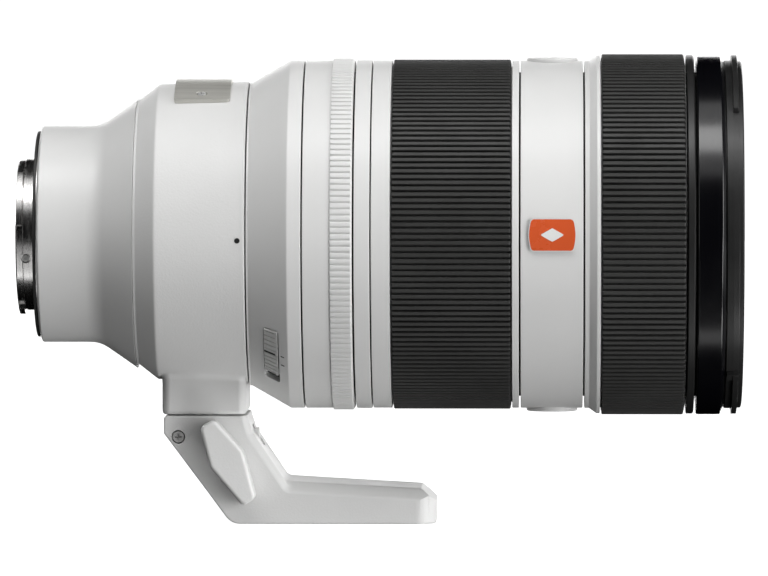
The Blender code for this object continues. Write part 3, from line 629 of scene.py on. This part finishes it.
def knob():
    lobes, depth = 28, 0.45

    def wave(spin, h, r):
        grip = 46.9 < h < 50.9 and r > 7.2
        return r - depth * max(0.0, math.cos(lobes * spin)) ** 2 if grip else r

    spun("collar_knob", [
        (46.75, 2.3), (46.75, 7.6, 0.2), (47.05, 8.0, 0.1), (48.9, 8.0, 0.1), (50.7, 8.0, 0.3),
        (51.2, 7.3, 0.3), (51.2, 5.6, 0.2), (50.95, 5.3, 0.2), (50.95, 0.01, 0), (49.5, 0.01, 0),
        (49.5, 2.3, 0.1),
    ], KNOB_X, KNOB_ANGLE, "satin_black", "collar_knob", "collar_knob_grip", steps=280,
         wave=wave)
    spun("collar_knob_screw", [(39.75, 0.01, 0), (39.75, 1.7), (40.1, 1.9), (49.1, 1.9), (49.1, 0.01, 0)],
         KNOB_X, KNOB_ANGLE, "screw_steel", "collar_knob", "collar_clamp_screw")


def name_plate():
    half = 21.9
    bm = slab_mesh(box_outline(half, 7.9, 1.1), -0.75, 0.6, 0.3, 3, cuts=spaced(-half, half, 0.9))
    mesh = wrap(bm, 47.65, 90, 43.65)
    screw_x, screw_angles = 47.5, (66, 114)
    seats = []
    for angle in screw_angles:
        low, middle, rim, top = (place(screw_x, angle, r) for r in (43, 43.8, 44, 44.4))
        seats.append(rod_mesh(low, rim, 1.45 * MM))
        seats.append(rod_mesh(middle, top, 1.4 * MM, 32, 1.75 * MM))
    mesh = boolean(mesh, seats)
    show("top_name_plate", mesh, "brushed_plate", "collar", "name_plate", sharp=25)
    for i, angle in enumerate(screw_angles, 1):
        phillips(f"name_plate_screw_head_{i}", place(screw_x, angle, 44.22), outward(angle), 1.25, "collar",
                 f"name_plate_screw_{i}", depth=0.9, dome=0.1)


# Foot ------------------------------

def on_foot(x, y, z):
    """The world point of a place given from the flange centre."""
    return Vector((FLANGE_X + x, y, AXIS_Z + z)) * MM


def beside(spot, y):
    """The world point at y across from a spot (x, z) of the foot's side view."""
    return on_foot(spot[0], y, spot[1])


FOOT_HALF = 16.5
FOOT_TOP = -51.1
SOLE = -81.9
REAR_X, RAKE_TOP = 36.6, -56.2
HEEL_X = 55.77
ARM_END = 114.0
UPRIGHT, LEVEL = (0, 1), (1, 0)
LEVER_AT = (55.3, -64.0)
STOP_SCREW_AT = (40.7, -57.1)
CATCH_AT = (62.8, -57.4)
LEG_SLOPE = Vector((9.7, -14.4)).normalized()
ARM_SLOPE = Vector((37.1, -2.15)).normalized()
NECK_SLOPE = Vector((1.0, -3.2)).normalized()
INSERT_X = 86.0


def ramp(value, start, blend):
    """How far a value is past a start, eased in over a blend."""
    past = value - start + blend / 2
    if past <= 0:
        return 0.0
    return past ** 2 / (2 * blend) if past < blend else value - start


def crossing(point, way, other, other_way):
    """Where two lines of (x, z) meet."""
    gap = Vector(other) - Vector(point)
    share = gap.cross(other_way) / Vector(way).cross(other_way)
    return tuple(Vector(point) + Vector(way) * share)


def foot_section(y):
    """The foot's side view at y: it shrinks towards the side faces, where its front is chamfered and the
    upright corners of the arm's end are round."""
    away = abs(y)
    edge_r, end_r = 0.5, 6.0
    edge = edge_r - math.sqrt(edge_r ** 2 - max(0.0, away - FOOT_HALF + edge_r) ** 2)
    leg_in = ramp(away, 14.9, 0.7) + edge
    arm_drop = ramp(away, 13.4, 0.9) + edge
    end = ARM_END - end_r + math.sqrt(end_r ** 2 - max(0.0, away - FOOT_HALF + end_r) ** 2)
    inward = Vector((LEG_SLOPE.y, -LEG_SLOPE.x))
    leg = Vector((60.9, -54.6)) + inward * leg_in
    arm = (72.6, -69.75 - arm_drop)
    front = Vector((61.3, -54.3)) + inward * leg_in
    rake = Vector((HEEL_X - REAR_X, SOLE - RAKE_TOP)).normalized()
    rear = Vector((REAR_X, RAKE_TOP)) + Vector((-rake.y, rake.x)) * edge
    nose, nose_slope = (109.7, -71.9), Vector((4.3, -3.6))
    shoulder = crossing(arm, ARM_SLOPE, nose, nose_slope)
    end_top = crossing((end, 0), UPRIGHT, nose, nose_slope)
    if shoulder[0] > end - 0.01:
        shoulder = end_top = crossing(arm, ARM_SLOPE, (end, 0), UPRIGHT)
    return rounded([
        (REAR_X + 0.6 + edge, FOOT_TOP - edge, 0.2), (REAR_X + edge, FOOT_TOP - 0.6 - edge, 0.2),
        (*crossing((REAR_X + edge, 0), UPRIGHT, rear, rake), 1.0),
        (*crossing(rear, rake, (0, SOLE + edge), LEVEL), 5.1), (end, SOLE + edge, 0.8), (*end_top, 0.5),
        (*shoulder, 0.8), (*crossing(arm, ARM_SLOPE, leg, LEG_SLOPE), 3.0),
        (*crossing(front, NECK_SLOPE, leg, LEG_SLOPE), 0.8),
        (*crossing(front, NECK_SLOPE, (0, FOOT_TOP - edge), LEVEL), 0.3),
    ], 0, 9, same=True, limit=0.48)


def foot_mesh():
    near = [0, 6, 10.4, 11, 11.6, 12.2, 12.6, 12.9, 13.1, 13.3, 13.5, 13.7, 13.9, 14.2, 14.5, 14.7, 14.9,
            15.1, 15.3, 15.6, 15.9, 16.0, 16.15, 16.28, 16.38, 16.45, 16.49, FOOT_HALF]
    stations = [-y for y in reversed(near)] + near[1:]
    rows = [[on_foot(x, y, z) for x, z in foot_section(y)] for y in stations]
    return grid_mesh("foot", rows, closed_rows=False)


def bar_mesh(outline, x_range, bevel=0.25):
    """A bar along X from its (y, z) outline, given from the flange centre."""
    back, front = x_range
    bm = prism([on_foot(back, y, z) for y, z in outline], ((front - back) * MM, 0, 0))
    if bevel:
        soften(bm, list(bm.edges), bevel * MM, 2)
    return from_bmesh(bm, "bar")


def on_leg(outline, half_width, bevel=0.0):
    """A bar across the foot that stands on the leg's front face, from its outline of (down the leg, out of
    it)."""
    along = Vector((LEG_SLOPE.x, 0, LEG_SLOPE.y))
    out = Vector((-LEG_SLOPE.y, 0, LEG_SLOPE.x))
    centre = beside(CATCH_AT, -half_width)
    bm = prism([centre + (along * a + out * h) * MM for a, h in outline], (0, 2 * half_width * MM, 0))
    if bevel:
        edges = [e for e in bm.edges if e.calc_face_angle(0) > 0.6]
        soften(bm, edges, bevel * MM, 3)
    return from_bmesh(bm, "catch")


def foot():
    groove = bar_mesh([(-5.7, -50.0), (5.7, -50.0), (8.5, -55.0), (-8.5, -55.0)], (30, 59.1), 0)
    cuts = [
        groove,
        rod_mesh(beside(LEVER_AT, -18), beside(LEVER_AT, -5), 2.8 * MM, 48),
        rod_mesh(beside(STOP_SCREW_AT, -18), beside(STOP_SCREW_AT, -10), 1.95 * MM, 48),
        on_leg([(-3.4, -5.2), (3.4, -5.2), (3.4, 4.0), (-3.4, 4.0)], 4.4),
        rod_mesh(on_foot(INSERT_X, 0, SOLE - 1), on_foot(INSERT_X, 0, SOLE + 7), 5.2 * MM, 64),
    ]
    mesh = boolean(foot_mesh(), cuts)
    show("foot_body", mesh, "white_grained", "tripod_foot", "foot_casting", sharp=24)
    phillips("foot_stop_screw_head", beside(STOP_SCREW_AT, -16.25), outward(0), 1.65, "tripod_foot",
             "foot_stop_screw", depth=1.8, dome=0.2, turned=0, look="painted_screw")
    rail = bar_mesh([(-5.0, -51.05), (5.0, -51.05), (7.8, -54.6), (-7.8, -54.6)], (38.0, 58.6), 0.3)
    show("dovetail_rail", rail, "mount_steel", "collar", "foot_rail", sharp=30)
    catch = on_leg([(-2.85, -2.9), (2.8, -2.9), (2.8, -1.0), (-1.6, 1.4), (-2.85, -0.5)], 4.0, 0.25)
    show("release_catch_tab", catch, "white_grained", "release_catch", "foot_release_catch",
         sharp=30)
    tripod_thread()


def tripod_thread():
    """The threaded insert, with a real 20-to-the-inch helix in its bore."""
    pitch = 1.27
    low, high = SOLE + 0.2, SOLE + 6.6
    outer_r, bore_r, thread_depth = 4.9, 3.175, 0.5
    count, levels = 64, 52
    rows = []
    for i in range(count):
        spin = math.tau * i / count
        outline = [(low, outer_r), (high, outer_r)]
        for k in range(levels + 1):
            z = high - (high - low) * k / levels
            phase = (z / pitch - i / count) % 1
            outline.append((z, bore_r + thread_depth * abs(2 * phase - 1)))
        rows.append([on_foot(INSERT_X + r * math.cos(spin), r * math.sin(spin), z) for z, r in outline])
    mesh = grid_mesh("thread", rows)
    show("tripod_thread_insert", mesh, "mount_steel", "tripod_foot", "quarter_inch_insert",
         sharp=25)


def lever():
    outline = rounded([
        (-8.2, 10.0, 1.8), (-4.1, 12.3, 1.8), (4.1, 3.3, 2.4), (7.7, -10.1, 1.6), (3.9, -12.3, 1.6),
        (-5.3, -1.4, 2.4),
    ], 1.5, 7)
    bm = slab_mesh(outline, 17.2, 25.0, 1.15, 4)
    under = [e for e in bm.edges if all(abs(v.co.z - 17.2) < 1e-9 for v in e.verts)]
    soften(bm, under, 0.4, 2)
    for vert in bm.verts:
        u, v, w = vert.co
        vert.co = on_foot(LEVER_AT[0] + u, -w, LEVER_AT[1] + v)
    mesh = from_bmesh(bm, "lever")
    socket = rod_mesh(beside(LEVER_AT, -22), beside(LEVER_AT, -17), 2.8 * MM, 48)
    show("clamp_lever", boolean(mesh, [socket]), "white_grained", "foot_lever", "foot_lever_grip",
         sharp=28)
    shank = rod_mesh(beside(LEVER_AT, -21.6), beside(LEVER_AT, -6), 2.5 * MM, 48, rounding=0.3 * MM)
    show("clamp_screw_shank", shank, "screw_steel", "foot_lever", "foot_clamp_screw")


# Switches --------------------------

def cone_r(x):
    return CONE_BACK[1] + CONE_RISE * (x - CONE_BACK[0])


def on_cone(bm, x, angle):
    """Bends a flat slab onto the switch housing's cone."""
    return wrap(bm, x, angle, cone_r(x), math.degrees(math.atan(CONE_RISE)))


def arc_length(x, angles):
    return math.radians(angles[1] - angles[0]) * cone_r(x)


def housing():
    mesh = lathe_mesh("housing", [
        (60.8, 39.5), (60.8, 43.25, 0.15), (*CONE_BACK, 0.3), (*CONE_FRONT, 1.2), (76.3, 49.6, 0.25),
        (76.3, 47.3), (72.6, 47.3), (62.0, 41.2), (62.0, 39.5),
    ], 0.2, 5)
    window_angles, panel_angles, panel_x = (-59.1, -32.8), (152.0, 208.0), 66.9
    window_half = arc_length(CLICK_X, window_angles) / 2
    window_angle = sum(window_angles) / 2
    cut = slab_mesh(box_outline(window_half, 2.55, 1.0), -1.5, 3, cuts=spaced(-10, 10, 0.8))
    mesh = boolean(mesh, [on_cone(cut, CLICK_X, window_angle)])
    half = arc_length(panel_x, panel_angles) / 2
    plate = slab_mesh(box_outline(half, 4.5, 1.2), -0.6, 0.9, 0.35, 3, cuts=spaced(-half, half, 0.9))
    plate_mesh = on_cone(plate, panel_x, sum(panel_angles) / 2)
    slots = []
    for angles in ((156.0, 172.0), (186.0, 202.0)):
        half = arc_length(panel_x, angles) / 2
        slot = slab_mesh(box_outline(half, 2.3, 0.6), -0.5, 3, cuts=spaced(-half, half, 0.9))
        slots.append(on_cone(slot, panel_x, sum(angles) / 2))
    mesh = boolean(mesh, slots)
    plate_mesh = boolean(plate_mesh, slots)
    show("switch_cone", mesh, "white_smooth", "barrel", "switch_housing")
    floor = slab_mesh(box_outline(window_half - 0.05, 2.5, 0.8), -1.49, -1.4,
                      cuts=spaced(-window_half, window_half, 0.8))
    show("click_window_floor", on_cone(floor, CLICK_X, window_angle), "matte_black", "barrel")
    show("side_switch_panel", plate_mesh, "switch_grey", "barrel")
    for name, node_name, body, angles in (
        ("focus_mode_slider_cap", "focus_mode_switch", "focus_mode_slider", (157.0, 167.0)),
        ("focus_range_slider_cap", "focus_range_switch", "focus_range_slider", (187.0, 197.0)),
    ):
        slider = slider_mesh(arc_length(panel_x, angles) / 2, 1.9, -0.15, 1.7, 7)
        show(name, on_cone(slider, panel_x, sum(angles) / 2), "dial_grey", body, node_name,
             sharp=30)
    for i, angle in enumerate((157.0, 167.0, 187.0, 197.0)):
        tick = slab_mesh(box_outline(0.22, 0.55), 0.88, 0.96)
        show(f"side_switch_tick_{i + 1}", on_cone(tick, 70.05, angle), "ink_black", "barrel")


def slider_mesh(half_u, half_v, low, high, ribs, flat_end=0.5):
    """A sliding cap with finger ribs across its travel, cut as narrow grooves."""
    profile = [(-half_u, low), (half_u, low), (half_u, high - 0.25), (half_u - 0.25, high)]
    pitch = 2 * (half_u - flat_end) / ribs
    for i in range(ribs + 1):
        middle = half_u - flat_end - i * pitch
        profile += [(middle + 0.15 * pitch, high), (middle + 0.08 * pitch, high - 0.3),
                    (middle - 0.08 * pitch, high - 0.3), (middle - 0.15 * pitch, high)]
    profile += [(-half_u + 0.25, high), (-half_u, high - 0.25)]
    return prism([(u, -half_v, w) for u, w in profile], (0, 2 * half_v, 0))


def click_slider():
    """The cap has a smooth raised edge on its front side, and an index line across its middle."""
    x, angles, index_angle = CLICK_X, (-54.4, -33.3), -43.4
    half = arc_length(x, angles) / 2
    bm = slider_mesh(half, 2.15, -1.15, 0.3, 10, 0.6)
    show("click_slider_cap", on_cone(bm, x, sum(angles) / 2), "slider_grey", "click_slider",
         "click_switch", sharp=30)
    edge = slab_mesh(box_outline(half - 0.1, 0.3, 0.25), 0.0, 0.36, 0.1)
    for vert in edge.verts:
        vert.co.y += 1.8
    show("click_slider_edge", on_cone(edge, x, sum(angles) / 2), "slider_grey", "click_slider",
         sharp=30)
    mark = slab_mesh(box_outline(0.3, 1.8), 0.1, 0.36)
    show("click_slider_mark", on_cone(mark, x - 0.3, index_angle), "ink_black", "click_slider")
    for i, angle in enumerate((index_angle, index_angle - 4.2)):
        tick = slab_mesh(box_outline(0.17, 0.55), 0.0, 0.07)
        show(f"click_tick_{i + 1}", on_cone(tick, 70.9, angle), "ink_black", "barrel")


# Rings -----------------------------

def ribbed_rows(ribs, shape, outline):
    """Rows of points around the lens; the outline takes the rib's height there, from 0 to 1."""
    rows = []
    for i in range(ribs):
        for share, height in shape:
            rows += turned_rows([(i + share) * 360 / ribs], lambda angle, height=height: outline(height))
    return rows


RUBBER_RIB = ((0.0, 0.0), (0.12, 0.0), (0.155, 0.5), (0.19, 0.86), (0.25, 1.0), (0.5, 1.0), (0.75, 1.0),
              (0.81, 0.86), (0.845, 0.5), (0.88, 0.0))
KNURL_RIB = ((0.0, 0.0), (0.1, 0.0), (0.16, 0.75), (0.24, 1.0), (0.5, 1.0), (0.76, 1.0), (0.84, 0.75),
             (0.9, 0.0))


def grip(name, node_name, body, x_range, inner, base, top):
    """A rubber grip with ribs along the lens, whose ends slope down to a thin band."""
    back, front = x_range

    def outline(height):
        rise = (top - base) * height
        return [
            (back, inner), (back, base), (back + 0.14, base), (back + 0.2, base + 0.85 * rise),
            (back + 0.4, base + rise), (front - 0.5, base + rise), (front - 0.2, base + 0.8 * rise),
            (front - 0.1, base + 0.3 * rise), (front - 0.08, base), (front, base), (front, inner),
        ]

    mesh = grid_mesh(name, ribbed_rows(GRIP_RIBS, RUBBER_RIB, outline))
    show(name, mesh, "grip_rubber", body, node_name, sharp=32)


def aperture():
    lathe("aperture_dial_ring", [
        (76.75, 46.6), (76.75, 49.6, 0.22), (84.35, 49.6, 0.1), (84.35, 46.6),
    ], "white_smooth", "aperture_dial", "aperture_ring")

    def outline(height):
        rise = 0.42 * height
        return [
            (84.36, 46.6), (84.36, 49.5), (84.5, 49.55), (84.56, 49.66 + 0.9 * rise), (84.7, 49.68 + rise),
            (90.1, 49.68 + rise), (90.3, 49.66 + 0.8 * rise), (90.4, 49.6), (90.62, 49.5), (90.7, 49.35),
            (90.7, 46.6),
        ]

    mesh = grid_mesh("knurl", ribbed_rows(KNURL_RIBS, KNURL_RIB, outline))
    show("aperture_dial_knurl", mesh, "white_smooth", "aperture_dial", sharp=40)


def zoom():
    lathe("index_band", [(91.2, 46.5), (91.2, 49.65, 0.22), (95.6, 49.65, 0.22), (95.6, 46.5)],
          "white_smooth", "barrel", "index_ring")
    mesh = lathe_mesh("zoom_sleeve", [
        (96.0, 46.6), (96.0, 49.57, 0.22), (101.3, 49.57, 0.12), (101.3, 47.8), (135.5, 47.8),
        (135.5, 49.55, 0.12), (137.4, 49.55, 0.22), (137.4, 46.6),
    ])
    key_seat = slab_mesh(box_outline(3.0, 2.9), -1.3, 0.85, cuts=spaced(-3, 3, 0.9))
    mesh = boolean(mesh, [wrap(key_seat, 121, 30, 46.5)])
    show("zoom_sleeve", mesh, "white_smooth", "zoom_drive", "zoom_ring")
    grip("zoom_grip_rubber", "zoom_grip", "zoom_drive", (101.6, 135.2), 48.15, 48.75, 49.83)


def band():
    mesh = lathe_mesh("band", [(137.9, 46.5), (137.9, 49.53, 0.22), (155.5, 49.53, 0.22), (155.5, 46.5)],
                      steps=360)
    buttons = (("top", 90), ("left", 180), ("bottom", 270))
    pockets = [rod_mesh(place(BUTTON_X, angle, 47), place(BUTTON_X, angle, 52), 7.55 * MM, 96)
               for _, angle in buttons]
    mesh = boolean(mesh, pockets)
    show("button_sleeve", mesh, "white_smooth", "barrel", "button_band")
    for side, angle in buttons:
        spun(f"{side}_hold_button", [
            (47.7, 0.01, 0), (47.7, 7.25, 0.2), (50.35, 7.25, 0.55), (50.4, 6.1, 0.4), (50.18, 4.8, 1.5),
            (50.1, 0.01, 0),
        ], BUTTON_X, angle, "white_smooth", f"{side}_button", f"hold_button_{side}",
             steps=128)
    badge()


def badge():
    """A plain enamel plaque in a thin metal rim, with a generic diamond in place of a mark."""
    x, angle, r = BUTTON_X, math.degrees(math.asin(1.4 / 49.9)), 49.87
    rim = slab_mesh(badge_outline(0), 0, 0.34, 0.1, 3, cuts=spaced(-4.6, 4.6, 0.8))
    show("badge_rim", wrap(rim, x, angle, r), "badge_metal", "barrel", "badge_plate",
         sharp=30)
    enamel = slab_mesh(badge_outline(0.24), 0, 0.37, 0.06, 3, cuts=spaced(-4.4, 4.4, 0.8))
    show("badge_enamel_field", wrap(enamel, x, angle, r), "orange_enamel", "barrel",
         sharp=30)
    outline = rounded([(-1.9, 0), (0, -3.4), (1.9, 0), (0, 3.4)], 0.3)
    diamond = slab_mesh(outline, 0.3, 0.44, 0.05, 2, cuts=spaced(-1.9, 1.9, 0.6))
    show("badge_diamond", wrap(diamond, x, angle, r), "symbol_white", "barrel",
         sharp=30)


def badge_outline(inset):
    """A plaque with bowed ends and tight corners; u runs around the lens and v along it."""
    half_u, half_v, bow, corner, parts = 4.6 - inset, 6.0 - inset, 0.7, 0.7, 12
    outline = box_outline(half_u, half_v, corner, 6)
    ends = []
    for k, (u, v) in enumerate(outline):
        after = outline[(k + 1) % len(outline)]
        ends.append((u, v))
        if abs(v - after[1]) < 1e-6 and abs(u - after[0]) > 1:
            ends += [(u + (after[0] - u) * i / parts, v) for i in range(1, parts)]
    return [(u, v + math.copysign(bow * (1 - (u / half_u) ** 2), v) if abs(v) > 1 else v) for u, v in ends]


def focus():
    lathe("focus_sleeve", [
        (156.0, 46.6), (156.0, 49.55, 0.2), (157.3, 49.55, 0.6), (159.4, 51.05, 0.5), (160.4, 51.08, 0.15),
        (160.4, 49.4), (184.5, 49.4), (184.5, 46.6),
    ], "white_smooth", "focus_dial", "focus_ring")
    grip("focus_grip_rubber", "focus_grip", "focus_dial", (160.7, 184.3), 49.75, 50.3, 51.39)
    lathe("focus_trim_ring", [
        (184.9, 46.6), (184.9, 51.15, 0.2), (186.65, 51.15, 0.15), (187.0, 50.8, 0.15), (187.0, 46.6),
    ], "satin_black", "focus_dial", "focus_end_ring")


def front():
    lathe("front_casing", [
        (187.6, 46.6), (187.6, 51.0, 0.1), (187.95, 51.36, 0.3), (194.5, 51.36, 0.5), (195.4, 49.9, 0.3),
        (195.4, 48.9), (191.0, 48.9), (191.0, 46.6),
    ], "gloss_black", "barrel", "front_barrel", arcs=6)
    hood_ring()
    ridges = []
    for i in range(6):
        r = 46.6 - i * 0.88
        x = 193.0 - i * 0.2
        ridges += [(x, r, 0.04), (x - 0.45, r - 0.12, 0.04), (x - 0.5, r - 0.8, 0.04)]
    lathe("front_baffle", [
        (191.3, 41.3), (191.3, 47.2), (193.1, 47.2), *ridges, (191.75, 41.3),
    ], "matte_black", "barrel", "front_retaining_ring", radius=0.05, arcs=2)
    lathe_lens("front_glass", 184.3, 40.9, 5.4, 4.8, -2.4, "front_glass", "barrel", "front_element")


def hood_ring():
    lugs = ((90, 44.3), (270, 40.6))
    thread = []
    for i in range(12):
        x = 200.0 - i * 0.75
        thread += [(x, 47.55, 0), (x - 0.36, 47.95, 0)]

    def outline(angle):
        lug = max(widened(angle, centre, half, 0.5) for centre, half in lugs)
        return rounded([
            (191.3, 48.6), (195.7, 48.6), (195.7, 49.4), (195.9, 49.6), (197.6, 49.6, 0.03),
            (197.7, 49.6 + 1.57 * lug), (199.2, 49.5 + 1.67 * lug), (199.3, 49.47, 0.03), (200.3, 49.45),
            (200.6, 49.1), (200.6, 47.8, 0.05), *thread, (191.3, 47.5, 0.05),
        ], 0.12, 3, same=True)

    mesh = grid_mesh("hood_ring", turned_rows(stretch_angles(lugs, edge=0.5), outline))
    show("bayonet_hood_ring", mesh, "satin_black", "barrel", "hood_ring", sharp=28)
    stop = slab_mesh(box_outline(1.2, 1.75), 0, 1.6, 0.2)
    show("hood_stop_block", wrap(stop, 197.85, 309.3, 49.3), "satin_black", "barrel")


# Carried-over CAD nodes ------------

CAD_LOOKS = {
    "rear_tube": "satin_black", "main_tube": "matte_black", "zoom_cam_barrel": "cam_metal",
    "variator_cell": "matte_black", "compensator_cell": "matte_black", "focus_cell": "matte_black",
    "variator_lens": "inner_glass", "compensator_lens": "inner_glass", "focus_lens": "inner_glass",
    "relay_lens": "inner_glass", "guide_rod_1": "screw_steel", "guide_rod_2": "screw_steel",
    "focus_motor": "cam_metal", "front_cell": "matte_black", "main_board": "circuit_board",
    "iris_unit": "matte_black",
}


def dress_cad_nodes():
    for name, look in CAD_LOOKS.items():
        mesh = frame["nodes"][name].data
        mesh.materials.clear()
        mesh.materials.append(FINISHES[look])


# Stage -----------------------------

def glow(name, radiance, albedo):
    made = bpy.data.materials.new(name)
    made.use_nodes = True
    shader = made.node_tree.nodes["Principled BSDF"]
    shader.inputs["Base Color"].default_value = (albedo, albedo, albedo, 1)
    shader.inputs["Roughness"].default_value = 0.9
    shader.inputs["Specular IOR Level"].default_value = 0.0
    shader.inputs["Emission Color"].default_value = (1, 1, 1, 1)
    shader.inputs["Emission Strength"].default_value = radiance
    return made


def stage():
    """A white floor and a white surround that only the camera sees, so that neither lights the lens."""
    bpy.ops.mesh.primitive_plane_add(size=16.2)
    floor = bpy.context.object
    floor.name = "studio_floor"
    floor.data.materials.append(glow("studio_white", 1.03, 0.3))
    bpy.ops.mesh.primitive_uv_sphere_add(segments=48, ring_count=24, radius=8)
    dome = bpy.context.object
    dome.name = "studio_surround"
    dome.data.materials.append(glow("surround_white", 1.1, 0.0))
    for piece in (floor, dome):
        piece.visible_diffuse = False
        piece.visible_glossy = False
        piece.visible_transmission = False
        piece.visible_shadow = False


# Each light's elevation and azimuth from the camera's side, its size and distance in metres, and its watts
LIGHTS = {
    "overhead": (85, 0, (2.4, 0.55), 1.7, 3.1),
    "key": (65, 0, (2.4, 0.55), 1.7, 16.3),
    "key_skirt": (48, 0, (2.4, 0.55), 1.7, 2.2),
    "upper_rear": (60, -50, (0.9, 0.7), 1.7, 7.2),
    "lower_front": (-15, 50, (0.9, 0.7), 1.7, 8.7),
    "floor_bounce": (-50, 50, (0.9, 0.7), 1.7, 8.2),
    "front_fill": (10, 55, (1.2, 1.2), 2.2, 20.8),
    "front_side": (10, 85, (0.9, 0.9), 1.7, 9.9),
    "rear_side": (10, -85, (0.9, 0.9), 1.7, 1.9),
    "far_side": (5, 180, (2.4, 1.2), 2.4, 26.0),
    "mount_glint": (-42, -14, (0.3, 1.8), 1.7, 1.6),
    "low_glint": (-66, 5, (1.6, 0.3), 1.7, 1.0),
}
NOT_REFLECTED = {"front_fill"}
ONLY_REFLECTED = {"mount_glint", "low_glint"}


def softbox(name, elevation, azimuth, size, distance, watts):
    """An area light that looks at the middle of the lens."""
    data = bpy.data.lights.new(name, "AREA")
    data.shape = "RECTANGLE"
    data.size, data.size_y = size
    data.energy = watts
    obj = bpy.data.objects.new(name, data)
    up, round_ = math.radians(elevation), math.radians(azimuth)
    away = Vector((math.sin(round_) * math.cos(up), -math.cos(round_) * math.cos(up), math.sin(up)))
    obj.location = Vector((0, 0, AXIS_Z * MM)) + away * distance
    obj.rotation_euler = away.to_track_quat("Z", "Y").to_euler()
    obj.visible_glossy = name not in NOT_REFLECTED
    obj.visible_diffuse = name not in ONLY_REFLECTED
    bpy.context.scene.collection.objects.link(obj)


def lights():
    world = bpy.data.worlds.new("studio_air")
    bpy.context.scene.world = world
    world.use_nodes = True
    air = world.node_tree.nodes["Background"]
    air.inputs["Color"].default_value = (1, 1, 1, 1)
    air.inputs["Strength"].default_value = 0.04
    world.cycles_visibility.glossy = False
    for name, settings in LIGHTS.items():
        softbox(name, *settings)


def camera():
    data = bpy.data.cameras.new("camera")
    data.sensor_width = 36
    data.lens = 379.5
    data.clip_end = 200
    obj = bpy.data.objects.new("camera", data)
    obj.location = (0.04655, -2.311, 0.1569)
    target = Vector((0.00115, 0, 0.0665))
    obj.rotation_euler = (target - obj.location).to_track_quat("-Z", "Y").to_euler()
    bpy.context.scene.collection.objects.link(obj)
    bpy.context.scene.camera = obj
    bpy.context.scene.view_settings.view_transform = "Standard"


camera()
lights()
stage()
mount()
contacts()
rear_optics()
collar()
knob()
name_plate()
foot()
lever()
housing()
click_slider()
aperture()
zoom()
band()
focus()
front()
dress_cad_nodes()
